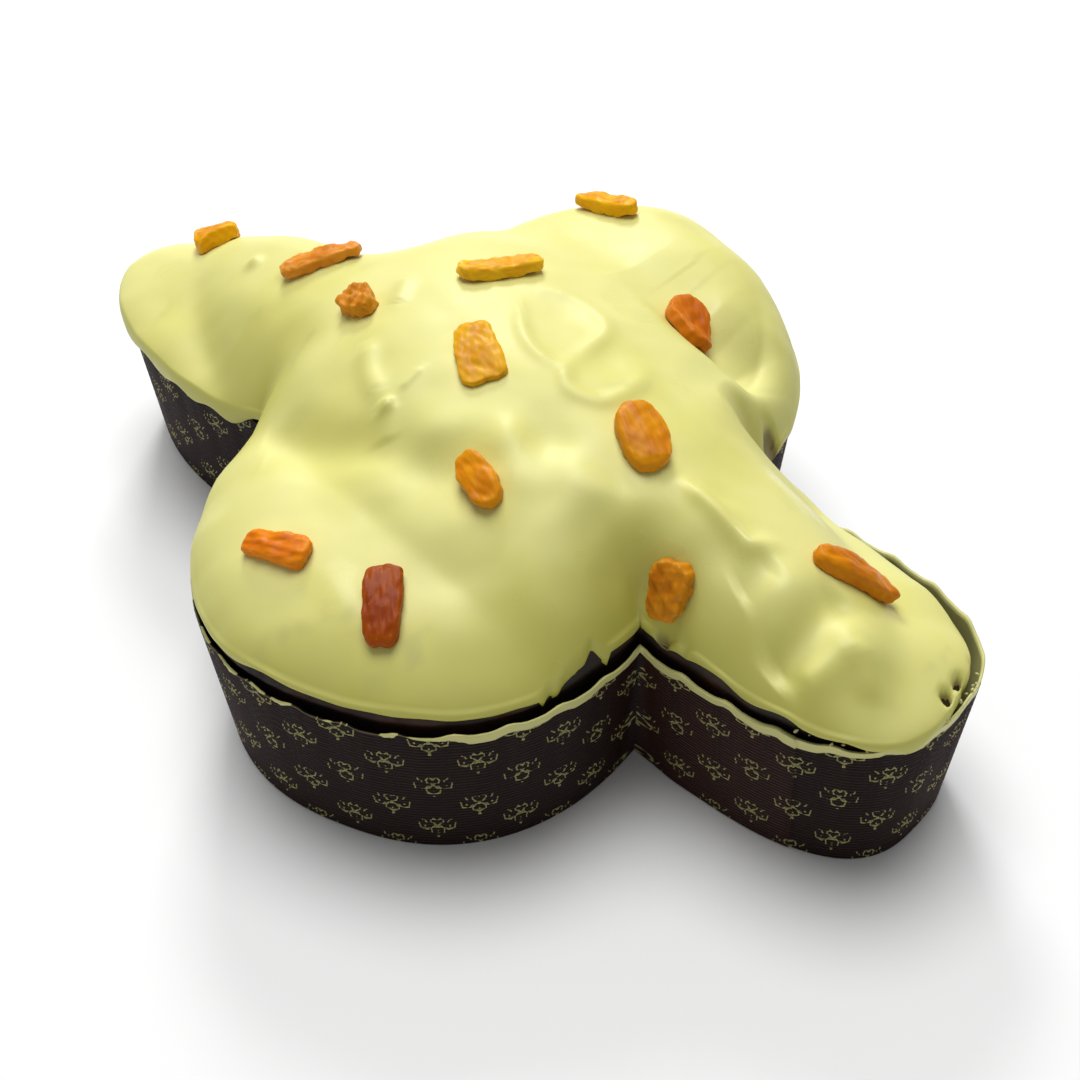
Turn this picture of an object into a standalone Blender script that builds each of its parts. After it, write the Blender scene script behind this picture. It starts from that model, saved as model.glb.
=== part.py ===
"""A colomba: an Easter loaf shaped as a dove, iced, set with candied fruit and left in its paper case.

Metres, +Z up. The origin is at the middle of the underside, and the case stands on z = 0.
The dove's body lies along X, with its narrow end at +X, and its wings spread along Y.
"""
import functools
import math
from collections import namedtuple

import bmesh
import bpy
import numpy as np
from mathutils import Vector
from mathutils.bvhtree import BVHTree
from mathutils.geometry import delaunay_2d_cdt

# Paper case
CASE_HEIGHT = 0.0498
CASE_FLARE = 0.005
PAPER_THICKNESS = 0.0008
SCALLOP_HEIGHT = 0.0008
SCALLOP_PITCH = 0.014
COLUMNS_PER_SCALLOP = 4
BASE_INNER_RING = 0.35

# Loaf and icing
GAP = 0.0004
WALL_GAP = 0.0014
ICING_THICKNESS = 0.0020
ICING_LIP = 0.55
LIP_START = 0.70
RELIEF_FADE = 0.4
CRUST_SHOULDER = 0.88
CRUST_SHOULDER_INSET = 0.0008
CRUST_NECK_INSET = 0.0018
CRUST_NECK_RISE = 0.0008
CRUST_FLOOR = 0.0511
CRUST_BLEND = 0.0012

# Mesh of the loaf and icing: columns round the outline, a band of rings at the edge of the
# risen top, and inside it two more lines and an even grid
LOAF_COLUMNS = 160
BAND_WIDTH = 0.006
BAND_RINGS = 3
INNER_RINGS = (0.005, 0.011)
CRUST_SPACING = 0.009
ICING_SPACING = 0.0045
SLOPE_STEP = 0.0002
STEEPEST = 2.0

# Where the middle of the four lobes stands, so that the origin is under the middle of the whole
CENTRE = np.array((0.00855, 0.00496))

# A lobe of the dove's outline: centre, half width across and half length along its axis,
# squareness of its superellipse, and the direction of its axis in degrees
Lobe = namedtuple("Lobe", "x y half_width half_length power turn")
NECK = Lobe(0.0847, -0.0033, 0.0351, 0.0553, 2.67, -3.0)
NEAR_WING = Lobe(-0.0031, -0.0257, 0.0665, 0.0808, 2.30, -76.3)
FAR_WING = Lobe(-0.0120, 0.0200, 0.0622, 0.0756, 2.30, 76.3)
TAIL = Lobe(-0.0872, -0.0042, 0.0305, 0.0672, 2.05, 178.9)
LOBES = (NECK, FAR_WING, TAIL, NEAR_WING)

# Directions in degrees that lie inside each lobe, in the order of LOBES
LOBE_DIRECTIONS = (0.0, 90.0, 180.0, 270.0)

# The risen top: five rounded hills on a low rim, blended with a soft maximum, and never lower
# than a floor that clears the rim of the case
Hill = namedtuple("Hill", "x y half_length half_width turn height")
BODY_HILL = Hill(-0.0012, -0.0063, 0.1347, 0.0554, -11.7, 0.0431)
NEAR_HILL = Hill(0.0, -0.0550, 0.0850, 0.0750, 0.0, 0.0254)
FAR_HILL = Hill(-0.0007, 0.0650, 0.0800, 0.1177, 0.0, 0.0378)
TAIL_HILL = Hill(-0.1125, 0.0077, 0.0600, 0.0450, 0.0, 0.0128)
NECK_HILL = Hill(0.1044, -0.0057, 0.0500, 0.0450, 0.0, 0.0120)
HILLS = (BODY_HILL, NEAR_HILL, FAR_HILL, TAIL_HILL, NECK_HILL)
HILL_BLEND = 3.0
HILL_FOOT = 0.10
DOME_RIM = 0.0490
DOME_SHOULDER = 0.0247
EDGE_MARGIN = 0.0010
DOME_FLOOR = 0.0529
FLOOR_BLEND = 0.0040

# Soft lumps of the baked top: place, radii and height
Lump = namedtuple("Lump", "x y radius_x radius_y height")
LUMPS = (
    Lump(0.0504, 0.0333, 0.0082, 0.0155, 0.0098),
    Lump(-0.1285, 0.0124, 0.0188, 0.0188, 0.0016),
    Lump(-0.0010, -0.0380, 0.0100, 0.0080, 0.0012),
    Lump(0.0200, -0.0330, 0.0090, 0.0080, 0.0012),
    Lump(0.0480, -0.0300, 0.0100, 0.0080, 0.0012),
)
LUMP_FADE = 0.012

# Points of the risen top's outermost line, for each lobe
EDGE_LINE_COUNTS = (130, 110, 110, 130)

# Relief of the icing alone: ridges along lines, and hollows that a spoon left
Ridge = namedtuple("Ridge", "x1 y1 x2 y2 radius height")
RIDGES = (
    Ridge(-0.012, 0.011, 0.007, -0.005, 0.0030, 0.0012),
    Ridge(0.007, -0.005, 0.016, -0.005, 0.0030, 0.0012),
    Ridge(0.016, -0.005, 0.013, 0.017, 0.0030, 0.0011),
    Ridge(0.013, 0.017, -0.006, 0.020, 0.0035, 0.0009),
    Ridge(0.014, 0.002, 0.018, -0.008, 0.0030, 0.0011),
    Ridge(0.018, -0.008, 0.030, -0.007, 0.0030, 0.0012),
    Ridge(0.030, -0.007, 0.032, 0.010, 0.0035, 0.0010),
    Ridge(-0.018, -0.031, -0.016, -0.024, 0.0030, 0.0012),
    Ridge(-0.019, -0.036, -0.014, -0.043, 0.0040, 0.0018),
    Ridge(0.057, -0.012, 0.079, -0.013, 0.0035, 0.0014),
    Ridge(0.079, -0.013, 0.088, -0.005, 0.0040, 0.0012),
    Ridge(0.111, -0.009, 0.113, -0.020, 0.0045, 0.0014),
    Ridge(-0.041, -0.019, -0.024, -0.034, 0.0035, 0.0010),
    Ridge(-0.048, 0.006, -0.042, -0.006, 0.0035, 0.0010),
    Ridge(-0.118, 0.010, -0.114, 0.008, 0.0035, 0.0020),
)
HOLLOWS = (
    Lump(0.0035, 0.0080, 0.0080, 0.0080, -0.0009),
    Lump(0.0245, 0.0020, 0.0070, 0.0070, -0.0009),
    Lump(0.0750, -0.0040, 0.0080, 0.0060, -0.0009),
    Lump(0.1030, -0.0240, 0.0050, 0.0110, -0.0010),
    Lump(0.0880, -0.0180, 0.0050, 0.0090, -0.0008),
)

# How far the iced edge stands out past the rim of the case, by direction in degrees
ICED_EDGE = (
    (0, -0.0015), (10, -0.0035), (18, -0.0030), (27, 0.0005), (40, 0.0026), (90, 0.0026),
    (140, 0.0024), (160, 0.0010), (170, 0.0024), (190, 0.0034), (202, 0.0030), (207, 0.0010),
    (250, 0.0024), (262, 0.0026), (270, 0.0010), (280, -0.0006), (320, -0.0012), (331, -0.0012),
    (340, -0.0006), (350, -0.0002), (360, -0.0015),
)

# How far short of the crust's edge the icing ends, by direction in degrees
ICING_SHORT = (
    (0, 0.0004), (308, 0.0004), (315, 0.0022), (322, 0.0048), (327, 0.0012), (329.5, 0.0004),
    (332, 0.0020), (334, 0.0004), (360, 0.0004),
)

# Candied fruit: place, direction of the long axis in degrees, length, width, thickness,
# squareness of the outline, how much narrower the far end is, and how far the ends curl up
Fruit = namedtuple("Fruit", "x y turn length width thickness power taper curl")
FRUIT = (
    Fruit(-0.1290, 0.0080, 44.0, 0.0135, 0.0115, 0.0056, 4.0, 0.15, 0.0),
    Fruit(-0.0765, 0.0010, 52.0, 0.0240, 0.0070, 0.0036, 3.5, -0.10, 0.0012),
    Fruit(-0.0490, -0.0116, -11.0, 0.0120, 0.0095, 0.0050, 2.2, 0.35, 0.0),
    Fruit(-0.0231, 0.0172, 52.0, 0.0240, 0.0072, 0.0042, 3.5, 0.05, 0.0010),
    Fruit(-0.0048, -0.0142, -40.0, 0.0220, 0.0118, 0.0024, 5.0, -0.15, 0.0),
    Fruit(-0.0275, 0.0715, 0.0, 0.0210, 0.0072, 0.0044, 2.8, 0.10, 0.0010),
    Fruit(0.0240, 0.0395, -33.0, 0.0225, 0.0125, 0.0050, 2.3, -0.10, 0.0),
    Fruit(0.0458, -0.0108, -33.0, 0.0205, 0.0128, 0.0046, 2.4, 0.0, 0.0),
    Fruit(0.0206, -0.0438, -28.0, 0.0175, 0.0090, 0.0046, 2.3, 0.0, 0.0),
    Fruit(-0.0144, -0.0828, 17.0, 0.0190, 0.0080, 0.0040, 4.5, -0.20, 0.0),
    Fruit(0.0192, -0.0806, -54.0, 0.0215, 0.0098, 0.0040, 4.0, 0.10, 0.0),
    Fruit(0.0708, -0.0310, -89.0, 0.0160, 0.0105, 0.0050, 3.5, 0.10, 0.0),
    Fruit(0.1040, -0.0010, 43.0, 0.0270, 0.0075, 0.0050, 2.6, 0.15, 0.0),
)
FRUIT_SEGMENTS = 10
FRUIT_RINGS = 5
FRUIT_SAG = 0.0025
FRUIT_SEARCH = 0.010

# Colour, roughness and metallic value of each finish
FINISHES = {
    "case_paper": ((0.050, 0.026, 0.024), 0.75, 0.0),
    "dark_crust": ((0.060, 0.022, 0.012), 0.80, 0.0),
    "pale_icing": ((0.840, 0.820, 0.400), 0.35, 0.0),
    "candied_fruit": ((0.870, 0.370, 0.030), 0.35, 0.0),
}


def remove_everything():
    for item in list(bpy.data.objects):
        bpy.data.objects.remove(item, do_unlink=True)


def finish(name):
    """The Principled material of that name."""
    material = bpy.data.materials.get(name)
    if material is None:
        colour, roughness, metallic = FINISHES[name]
        material = bpy.data.materials.new(name)
        material.use_nodes = True
        shader = material.node_tree.nodes["Principled BSDF"]
        shader.inputs["Base Color"].default_value = (*colour, 1.0)
        shader.inputs["Roughness"].default_value = roughness
        shader.inputs["Metallic"].default_value = metallic
    return material


def lobe_level(lobe, points):
    """1 on the edge of a lobe, and less inside it."""
    turn = math.radians(lobe.turn)
    dx = points[..., 0] - lobe.x
    dy = points[..., 1] - lobe.y
    along = (dx * math.cos(turn) + dy * math.sin(turn)) / lobe.half_length
    across = (dy * math.cos(turn) - dx * math.sin(turn)) / lobe.half_width
    return (np.abs(along) ** lobe.power + np.abs(across) ** lobe.power) ** (1.0 / lobe.power)


def dove_level(points):
    """1 on the dove's outline, and less inside it."""
    return np.min([lobe_level(lobe, points) for lobe in LOBES], axis=0)


def on_rays(angles, distances):
    return np.stack([np.cos(angles) * distances, np.sin(angles) * distances], axis=-1)


def reach(angles):
    """How far the outline lies from the middle in each direction."""
    steps = np.linspace(0.02, 0.24, 111)
    level = dove_level(on_rays(angles[:, None], steps[None, :]))
    last_inside = level.shape[1] - 1 - np.argmax(level[:, ::-1] < 1.0, axis=1)
    low = steps[last_inside]
    high = steps[last_inside + 1]
    for _ in range(30):
        middle = (low + high) / 2
        inside = dove_level(on_rays(angles, middle)) < 1.0
        low = np.where(inside, middle, low)
        high = np.where(inside, high, middle)
    return low


def corner_angle(first, second):
    """The direction where the outline passes from one lobe to the next."""
    low = math.radians(LOBE_DIRECTIONS[first])
    high = math.radians(LOBE_DIRECTIONS[second])
    if high < low:
        high += 2 * math.pi
    for _ in range(40):
        middle = (low + high) / 2
        here = on_rays(np.array([middle]), reach(np.array([middle])))
        nearer = lobe_level(LOBES[first], here)[0] < lobe_level(LOBES[second], here)[0]
        low, high = (middle, high) if nearer else (low, middle)
    return (low + high) / 2


@functools.lru_cache(maxsize=None)
def lobe_spans():
    """The first and last direction of each lobe's stretch of the outline, in the order of LOBES."""
    corners = [corner_angle(i, (i + 1) % 4) for i in range(4)]
    spans = []
    for i in range(4):
        start = corners[i - 1]
        while start > corners[i]:
            start -= 2 * math.pi
        spans.append((start, corners[i]))
    return spans


def span_points(span, count):
    """Points at even steps along one stretch, its first corner included and its last left out."""
    angles = np.linspace(span[0], span[1], 600)
    points = on_rays(angles, reach(angles))
    travelled = np.concatenate([[0.0], np.cumsum(np.linalg.norm(np.diff(points, axis=0), axis=1))])
    wanted = np.interp(np.arange(count) / count * travelled[-1], travelled, angles)
    return on_rays(wanted, reach(wanted)), travelled[-1]


def column_counts(total, multiple):
    """How many columns each stretch gets, by its length."""
    lengths = np.array([span_points(span, 4)[1] for span in lobe_spans()])
    share = lengths / lengths.sum() * total / multiple
    return tuple(int(round(value)) * multiple for value in share)


@functools.lru_cache(maxsize=None)
def outline(counts):
    """The dove's outline at the rim, one point for each column, with its four corners kept."""
    parts = [span_points(span, count)[0] for span, count in zip(lobe_spans(), counts)]
    return np.concatenate(parts)


def grown(counts, amount):
    """The outline moved outwards, by one amount or by one for each column."""
    line = outline(counts)
    along = np.roll(line, -1, axis=0) - line
    along = along / np.linalg.norm(along, axis=1, keepdims=True)
    after = np.column_stack([along[:, 1], -along[:, 0]])
    before = np.roll(after, 1, axis=0)
    mitre = (before + after) / (1.0 + np.sum(before * after, axis=1, keepdims=True))
    return line + mitre * np.reshape(np.broadcast_to(amount, len(line)), (-1, 1))


def directions(points):
    return np.degrees(np.arctan2(points[:, 1], points[:, 0])) % 360.0


def by_direction(table, angles):
    keys = [row[0] for row in table]
    return np.interp(angles, keys, [row[1] for row in table])


@functools.lru_cache(maxsize=None)
def dome_edge():
    """The risen top's outermost line, just outside the iced edge."""
    stand = by_direction(ICED_EDGE, directions(outline(EDGE_LINE_COUNTS)))
    return grown(EDGE_LINE_COUNTS, stand + EDGE_MARGIN)


def edge_distance(points):
    """How far inside the risen top's outermost line each point lies."""
    line = dome_edge()
    flat = points.reshape(-1, 2)
    after = np.roll(line, -1, axis=0) - line
    nearest = np.full(len(flat), np.inf)
    for start, run in zip(line, after):
        offset = flat - start
        along = np.clip(offset @ run / (run @ run), 0.0, 1.0)
        nearest = np.minimum(nearest, np.linalg.norm(offset - along[:, None] * run, axis=1))
    return nearest.reshape(points.shape[:-1])


def hill_height(hill, points):
    turn = math.radians(hill.turn)
    dx = points[..., 0] - hill.x
    dy = points[..., 1] - hill.y
    along = (dx * math.cos(turn) + dy * math.sin(turn)) / hill.half_length
    across = (dy * math.cos(turn) - dx * math.sin(turn)) / hill.half_width
    level = 1.0 - along ** 2 - across ** 2
    return hill.height * np.sqrt((level + np.sqrt(level ** 2 + HILL_FOOT ** 2)) / 2)


def lump_height(lump, points):
    dx = (points[..., 0] - lump.x) / lump.radius_x
    dy = (points[..., 1] - lump.y) / lump.radius_y
    return lump.height * np.exp(-(dx ** 2 + dy ** 2))


def ridge_height(ridge, points):
    start = np.array((ridge.x1, ridge.y1))
    run = np.array((ridge.x2, ridge.y2)) - start
    offset = points - start
    along = np.clip(offset @ run / (run @ run), 0.0, 1.0)
    distance = np.linalg.norm(offset - along[..., None] * run, axis=-1)
    return ridge.height * np.exp(-(distance / ridge.radius) ** 2)


def lifted(height, floor, blend):
    """A height that never falls below a floor, with a soft bend where it meets it."""
    above = height - floor
    return floor + (above + np.sqrt(above ** 2 + blend ** 2)) / 2


def dome_height(points):
    """Height of the iced top over each point, before the icing's own relief."""
    inset = edge_distance(points)
    rounding = np.sqrt(1.0 - (1.0 - np.clip(inset / DOME_SHOULDER, 0.0, 1.0)) ** 2)
    hills = sum(hill_height(hill, points) ** HILL_BLEND for hill in HILLS) ** (1.0 / HILL_BLEND)
    lumps = sum(lump_height(lump, points) for lump in LUMPS)
    risen = DOME_RIM + rounding * hills + lumps * np.clip(inset / LUMP_FADE, 0.0, 1.0)
    return lifted(risen, DOME_FLOOR, FLOOR_BLEND)


def slant(points):
    """How much longer a layer on the iced top is straight up through it than across it."""
    slopes = []
    for step in (np.array((SLOPE_STEP, 0.0)), np.array((0.0, SLOPE_STEP))):
        slopes.append((dome_height(points + step) - dome_height(points - step)) / (2 * SLOPE_STEP))
    return np.minimum(np.sqrt(1.0 + slopes[0] ** 2 + slopes[1] ** 2), STEEPEST)


def crust_height(points):
    layer = (ICING_THICKNESS + GAP) * slant(points)
    return lifted(dome_height(points) - layer, CRUST_FLOOR, CRUST_BLEND)


def icing_relief(points):
    ridges = sum(ridge_height(ridge, points) for ridge in RIDGES)
    return ridges + sum(lump_height(hollow, points) for hollow in HOLLOWS)


def at_height(plan, height):
    return np.column_stack([plan, np.broadcast_to(height, len(plan))])


def band_ring(share, counts):
    """One ring of the band at the edge of the risen top, seen from above.

    Share 0 is the band's inner line, 1 the icing's end, and 2 the edge of the bare crust.
    """
    angles = directions(outline(counts))
    stand = by_direction(ICED_EDGE, angles)
    short = by_direction(ICING_SHORT, angles)
    inset = BAND_WIDTH * max(0.0, 1.0 - share) + short * min(share, 2.0 - share)
    return grown(counts, stand - inset)


def top_patch(counts, spacing):
    """Points that cover the top inside the band, and the triangles that join them.

    The first points are the band's inner line. The rest are two more lines and an even grid.
    """
    angles = directions(outline(counts))
    line = by_direction(ICED_EDGE, angles) - BAND_WIDTH
    rings = [grown(counts, line - inset) for inset in (0.0, *INNER_RINGS)]
    margin = EDGE_MARGIN + BAND_WIDTH + INNER_RINGS[-1] + 0.6 * spacing
    row_step = spacing * math.sqrt(0.75)
    rows = range(-int(0.12 / row_step), int(0.12 / row_step) + 1)
    columns = range(-int(0.17 / spacing), int(0.17 / spacing) + 1)
    grid = np.array([
        ((column + (row % 2) / 2) * spacing, row * row_step) for row in rows for column in columns
    ])
    grid = grid[(dove_level(grid) < 1.0) & (edge_distance(grid) > margin)]
    points = np.concatenate([*rings, grid])
    border = list(range(len(rings[0])))
    corners = [Vector(point) for point in points]
    _, _, faces, origins, _, _ = delaunay_2d_cdt(corners, [], [border], 1, 1e-7)
    return points, [tuple(origins[corner][0] for corner in face) for face in faces]


def add_strip(mesh, lower, upper, other_way=False):
    """Triangles between two rings, the second with as many points, or half or twice as many."""
    count_low, count_up = len(lower), len(upper)
    for i in range(min(count_low, count_up)):
        j = (i + 1) % min(count_low, count_up)
        if count_low == count_up and other_way:
            faces = ((lower[i], lower[j], upper[i]), (lower[j], upper[j], upper[i]))
        elif count_low == count_up:
            faces = ((lower[i], lower[j], upper[j]), (lower[i], upper[j], upper[i]))
        elif count_low > count_up:
            a, b, c = lower[2 * i], lower[2 * i + 1], lower[(2 * i + 2) % count_low]
            faces = ((a, b, upper[i]), (b, upper[j], upper[i]), (b, c, upper[j]))
        else:
            a, b, c = upper[2 * i], upper[2 * i + 1], upper[(2 * i + 2) % count_up]
            faces = ((lower[i], b, a), (lower[i], lower[j], b), (lower[j], c, b))
        for face in faces:
            mesh.faces.new(face)


def add_rings(mesh, rings, other_way=False):
    """Vertices for each ring, joined from ring to ring."""
    stack = [[mesh.verts.new(point) for point in ring] for ring in rings]
    for lower, upper in zip(stack, stack[1:]):
        add_strip(mesh, lower, upper, other_way)
    return stack


def add_fan(mesh, ring, middle):
    """Shut a ring with triangles to a point below its middle."""
    point = mesh.verts.new(middle)
    for i, vertex in enumerate(ring):
        mesh.faces.new((point, ring[(i + 1) % len(ring)], vertex))


def add_patch(mesh, ring, points, triangles, facing_down=False):
    """Shut a ring with the top patch, whose first points are the ring's own."""
    corners = ring + [mesh.verts.new(point) for point in points[len(ring):]]
    for triangle in triangles:
        order = triangle[::-1] if facing_down else triangle
        mesh.faces.new([corners[corner] for corner in order])


def add_object(name, mesh, material, collection):
    data = bpy.data.meshes.new(name)
    bmesh.ops.translate(mesh, verts=mesh.verts, vec=(CENTRE[0], CENTRE[1], 0.0))
    mesh.to_mesh(data)
    mesh.free()
    item = bpy.data.objects.new(name, data)
    data.materials.append(finish(material))
    data.shade_smooth()
    data.set_sharp_from_angle(angle=math.radians(40))
    collection.objects.link(item)
    return item


def make_case(collection):
    """The flared paper case: an open skin with its outer face drawn, thickened inwards."""
    rim_length = sum(span_points(span, 4)[1] for span in lobe_spans())
    total = int(rim_length / SCALLOP_PITCH) * COLUMNS_PER_SCALLOP
    counts = column_counts(total, COLUMNS_PER_SCALLOP)
    base = grown(counts, -CASE_FLARE)
    rim = outline(counts)
    phase = np.arange(len(rim)) * 2 * math.pi / COLUMNS_PER_SCALLOP
    mesh = bmesh.new()
    stack = add_rings(mesh, [
        at_height(base * BASE_INNER_RING, 0.0)[::2],
        at_height(base, 0.0),
        at_height(rim, CASE_HEIGHT + SCALLOP_HEIGHT * np.cos(phase)),
    ])
    add_fan(mesh, stack[0], (0.0, 0.0, 0.0))
    case = add_object("paper_case", mesh, "case_paper", collection)
    wall = case.modifiers.new("paper", "SOLIDIFY")
    wall.thickness = PAPER_THICKNESS
    wall.offset = -1.0
    return case


def wall_ring(counts, share, inset):
    """A ring just inside the case's wall, at a share of its height."""
    base = at_height(grown(counts, -CASE_FLARE - inset), PAPER_THICKNESS + GAP)
    rim = at_height(grown(counts, -inset), CASE_HEIGHT)
    return base * (1.0 - share) + rim * share


def make_loaf(counts, patch, shares, collection):
    """The baked loaf: it fills the case, leaves the wall near the rim and rises above it."""
    inset = PAPER_THICKNESS + WALL_GAP
    wall_counts = tuple(count // 2 for count in counts)
    rings = [
        wall_ring(wall_counts, 0.0, inset),
        wall_ring(wall_counts, CRUST_SHOULDER, inset + CRUST_SHOULDER_INSET),
        at_height(grown(counts, -CRUST_NECK_INSET), CASE_HEIGHT + CRUST_NECK_RISE),
    ]
    for share in (2.0, *shares[::-1], 0.0):
        plan = band_ring(share, counts)
        rings.append(at_height(plan, crust_height(plan)))
    mesh = bmesh.new()
    stack = add_rings(mesh, rings)
    add_fan(mesh, stack[0], (0.0, 0.0, PAPER_THICKNESS + GAP))
    add_patch(mesh, stack[-1], at_height(patch[0], crust_height(patch[0])), patch[1])
    return add_object("loaf", mesh, "dark_crust", collection)


def icing_ring(share, counts):
    """A ring of the icing's upper face, thinned towards the icing's end."""
    plan = band_ring(share, counts)
    relief = icing_relief(plan) * min(1.0, (1.0 - share) / RELIEF_FADE)
    height = dome_height(plan) + relief * slant(plan)
    thinning = (1.0 - ICING_LIP) * max(0.0, share - LIP_START) / (1.0 - LIP_START)
    under = crust_height(plan) + GAP
    return at_height(plan, height - (height - under) * thinning)


def make_icing(counts, patch, shares, collection):
    """The icing: a skin over the risen crust, with a thinner edge."""
    under = []
    for share in (0.0, *shares):
        plan = band_ring(share, counts)
        under.append(at_height(plan, crust_height(plan) + GAP))
    over = [icing_ring(share, counts) for share in (*shares[::-1], 0.0)]
    mesh = bmesh.new()
    inner = add_rings(mesh, under, other_way=True)
    outer = add_rings(mesh, over)
    add_strip(mesh, inner[-1], outer[0])
    low_points = at_height(patch[0], crust_height(patch[0]) + GAP)
    add_patch(mesh, inner[0], low_points, patch[1], facing_down=True)
    points, triangles = top_patch(counts, ICING_SPACING)
    top = dome_height(points) + icing_relief(points) * slant(points)
    add_patch(mesh, outer[-1], at_height(points, top), triangles)
    return add_object("icing", mesh, "pale_icing", collection)


def make_fruit(index, fruit, icing_tree, collection):
    """One piece of candied fruit: a squared and tapered ellipsoid that lies on the icing."""
    mesh = bmesh.new()
    bmesh.ops.create_uvsphere(mesh, u_segments=FRUIT_SEGMENTS, v_segments=FRUIT_RINGS, radius=1.0)
    centre = Vector((fruit.x + CENTRE[0], fruit.y + CENTRE[1], 0.2))
    ground, up, _, _ = icing_tree.ray_cast(centre, Vector((0.0, 0.0, -1.0)))
    turn = math.radians(fruit.turn)
    forward = Vector((math.cos(turn), math.sin(turn), 0.0))
    forward = (forward - up * forward.dot(up)).normalized()
    side = up.cross(forward)
    for vertex in mesh.verts:
        x, y, z = vertex.co
        radial = math.hypot(x, y)
        power = (abs(x) ** fruit.power + abs(y) ** fruit.power) ** (1.0 / fruit.power)
        square = radial / power if power > 1e-6 else 1.0
        x *= square
        y *= square * (1.0 - fruit.taper * x)
        flat = math.copysign(abs(z) ** 0.6, z)
        spot = ground + forward * x * fruit.length / 2 + side * y * fruit.width / 2
        below, _, _, _ = icing_tree.ray_cast(spot + up * FRUIT_SEARCH, -up)
        rest = (below - ground).dot(up) if below else 0.0
        rest = min(FRUIT_SAG, max(-FRUIT_SAG, rest))
        lift = GAP + rest + fruit.thickness * (flat + 1.0) / 2 + fruit.curl * x * x
        vertex.co = spot + up * lift - Vector((CENTRE[0], CENTRE[1], 0.0))
    return add_object(f"fruit_{index:02d}", mesh, "candied_fruit", collection)


def main():
    remove_everything()
    collection = bpy.data.collections.new("colomba")
    bpy.context.scene.collection.children.link(collection)
    counts = column_counts(LOAF_COLUMNS, 2)
    shares = [ring / BAND_RINGS for ring in range(1, BAND_RINGS + 1)]
    patch = top_patch(counts, CRUST_SPACING)
    make_case(collection)
    make_loaf(counts, patch, shares, collection)
    icing = make_icing(counts, patch, shares, collection)
    tree = BVHTree.FromPolygons(
        [vertex.co for vertex in icing.data.vertices],
        [face.vertices for face in icing.data.polygons],
    )
    for index, fruit in enumerate(FRUIT, start=1):
        make_fruit(index, fruit, tree, collection)


main()
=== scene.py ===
"""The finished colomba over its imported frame: icing, crust, corrugated paper case and candied peel.

Metres, +Z up. The origin is at the middle of the underside, and the case stands on z = 0.
Plan coordinates in the tables are from the middle of the dove's lobes, as in the part's source.
"""
import math
from collections import namedtuple

import bmesh
import bpy
import numpy as np
from mathutils import Matrix, Vector
from mathutils.bvhtree import BVHTree
from mathutils.kdtree import KDTree


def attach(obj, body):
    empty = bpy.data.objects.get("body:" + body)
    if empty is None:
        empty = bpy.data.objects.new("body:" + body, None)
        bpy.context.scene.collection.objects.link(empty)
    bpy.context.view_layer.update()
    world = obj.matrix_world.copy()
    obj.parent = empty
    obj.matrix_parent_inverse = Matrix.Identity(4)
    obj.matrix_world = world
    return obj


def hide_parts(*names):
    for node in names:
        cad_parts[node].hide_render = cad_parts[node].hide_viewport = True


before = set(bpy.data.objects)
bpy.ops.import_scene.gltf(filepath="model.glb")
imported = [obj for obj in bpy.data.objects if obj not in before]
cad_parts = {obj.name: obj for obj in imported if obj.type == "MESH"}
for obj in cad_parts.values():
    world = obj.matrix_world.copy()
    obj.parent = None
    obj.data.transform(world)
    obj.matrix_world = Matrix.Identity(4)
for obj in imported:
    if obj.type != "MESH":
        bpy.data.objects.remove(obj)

bl_info = {
    "name": "Colomba",
    "version": (1, 0, 0),
    "blender": (4, 5, 0),
    "location": "View3D > Sidebar > Colomba",
    "description": "Builds an iced Easter dove loaf in its paper case",
    "category": "Add Mesh",
}

# Paper case
CASE_HEIGHT = 0.0498
CASE_FLARE = 0.005
CASE_COLUMNS = 480
CASE_ROWS = 180
BASE_RINGS = (0.3, 0.6, 0.9)
PAPER_THICKNESS = 0.0007
INNER_ROWS = (1.0, 0.97, 0.93, 0.86, 0.7, 0.5)
INNER_DROP = 0.0001
SCALLOP_PITCH = 0.014
RIM_PLAIN = 0.0006
FOOT_PLAIN = 0.0010

# Icing wiped over the rim, between two directions in degrees, and the flap where the paper overlaps
SMEAR_START = 292.0
SMEAR_END = 10.0
SMEAR_DEPTH = 0.0026
SMEAR_UNEVEN = 0.0008
SMEAR_EDGE = 0.0008
SPOT_DEPTH = 0.0014
COATED_START = 345.0
COATED_END = 30.0
FLAP_START = 331.0
FLAP_END = 341.7
FLAP_STAND = 0.0005
FLAP_FADE = 2.0
FLAP_EDGE_SHARE = 0.07

# Loaf and icing
GAP = 0.0004
ICING_THICKNESS = 0.0020
CENTRE = np.array((0.00855, 0.00496))
TOP_COLUMNS = 760
TOP_ROWS = 120
CRUST_COLUMNS = 520
LIP = 0.0008
LIP_PROFILE = ((0.45, 0.10), (0.85, 0.34), (1.0, 0.62), (0.8, 0.86), (0.3, 1.0))
LIP_FALL = 0.0012
LIP_SINK = 0.0004
BARE_SINK = 0.0010
OUTLINE_POINTS = 3200

# A lobe of the outline: centre, half width, half length, power of its curve, turn in degrees
LOBES = (
    (0.0847, -0.0033, 0.0351, 0.0553, 2.67, -3.0),
    (-0.0120, 0.0200, 0.0622, 0.0756, 2.30, 76.3),
    (-0.0872, -0.0042, 0.0305, 0.0672, 2.05, 178.9),
    (-0.0031, -0.0257, 0.0665, 0.0808, 2.30, -76.3),
)
LOBE_DIRECTIONS = (0.0, 90.0, 180.0, 270.0)

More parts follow.
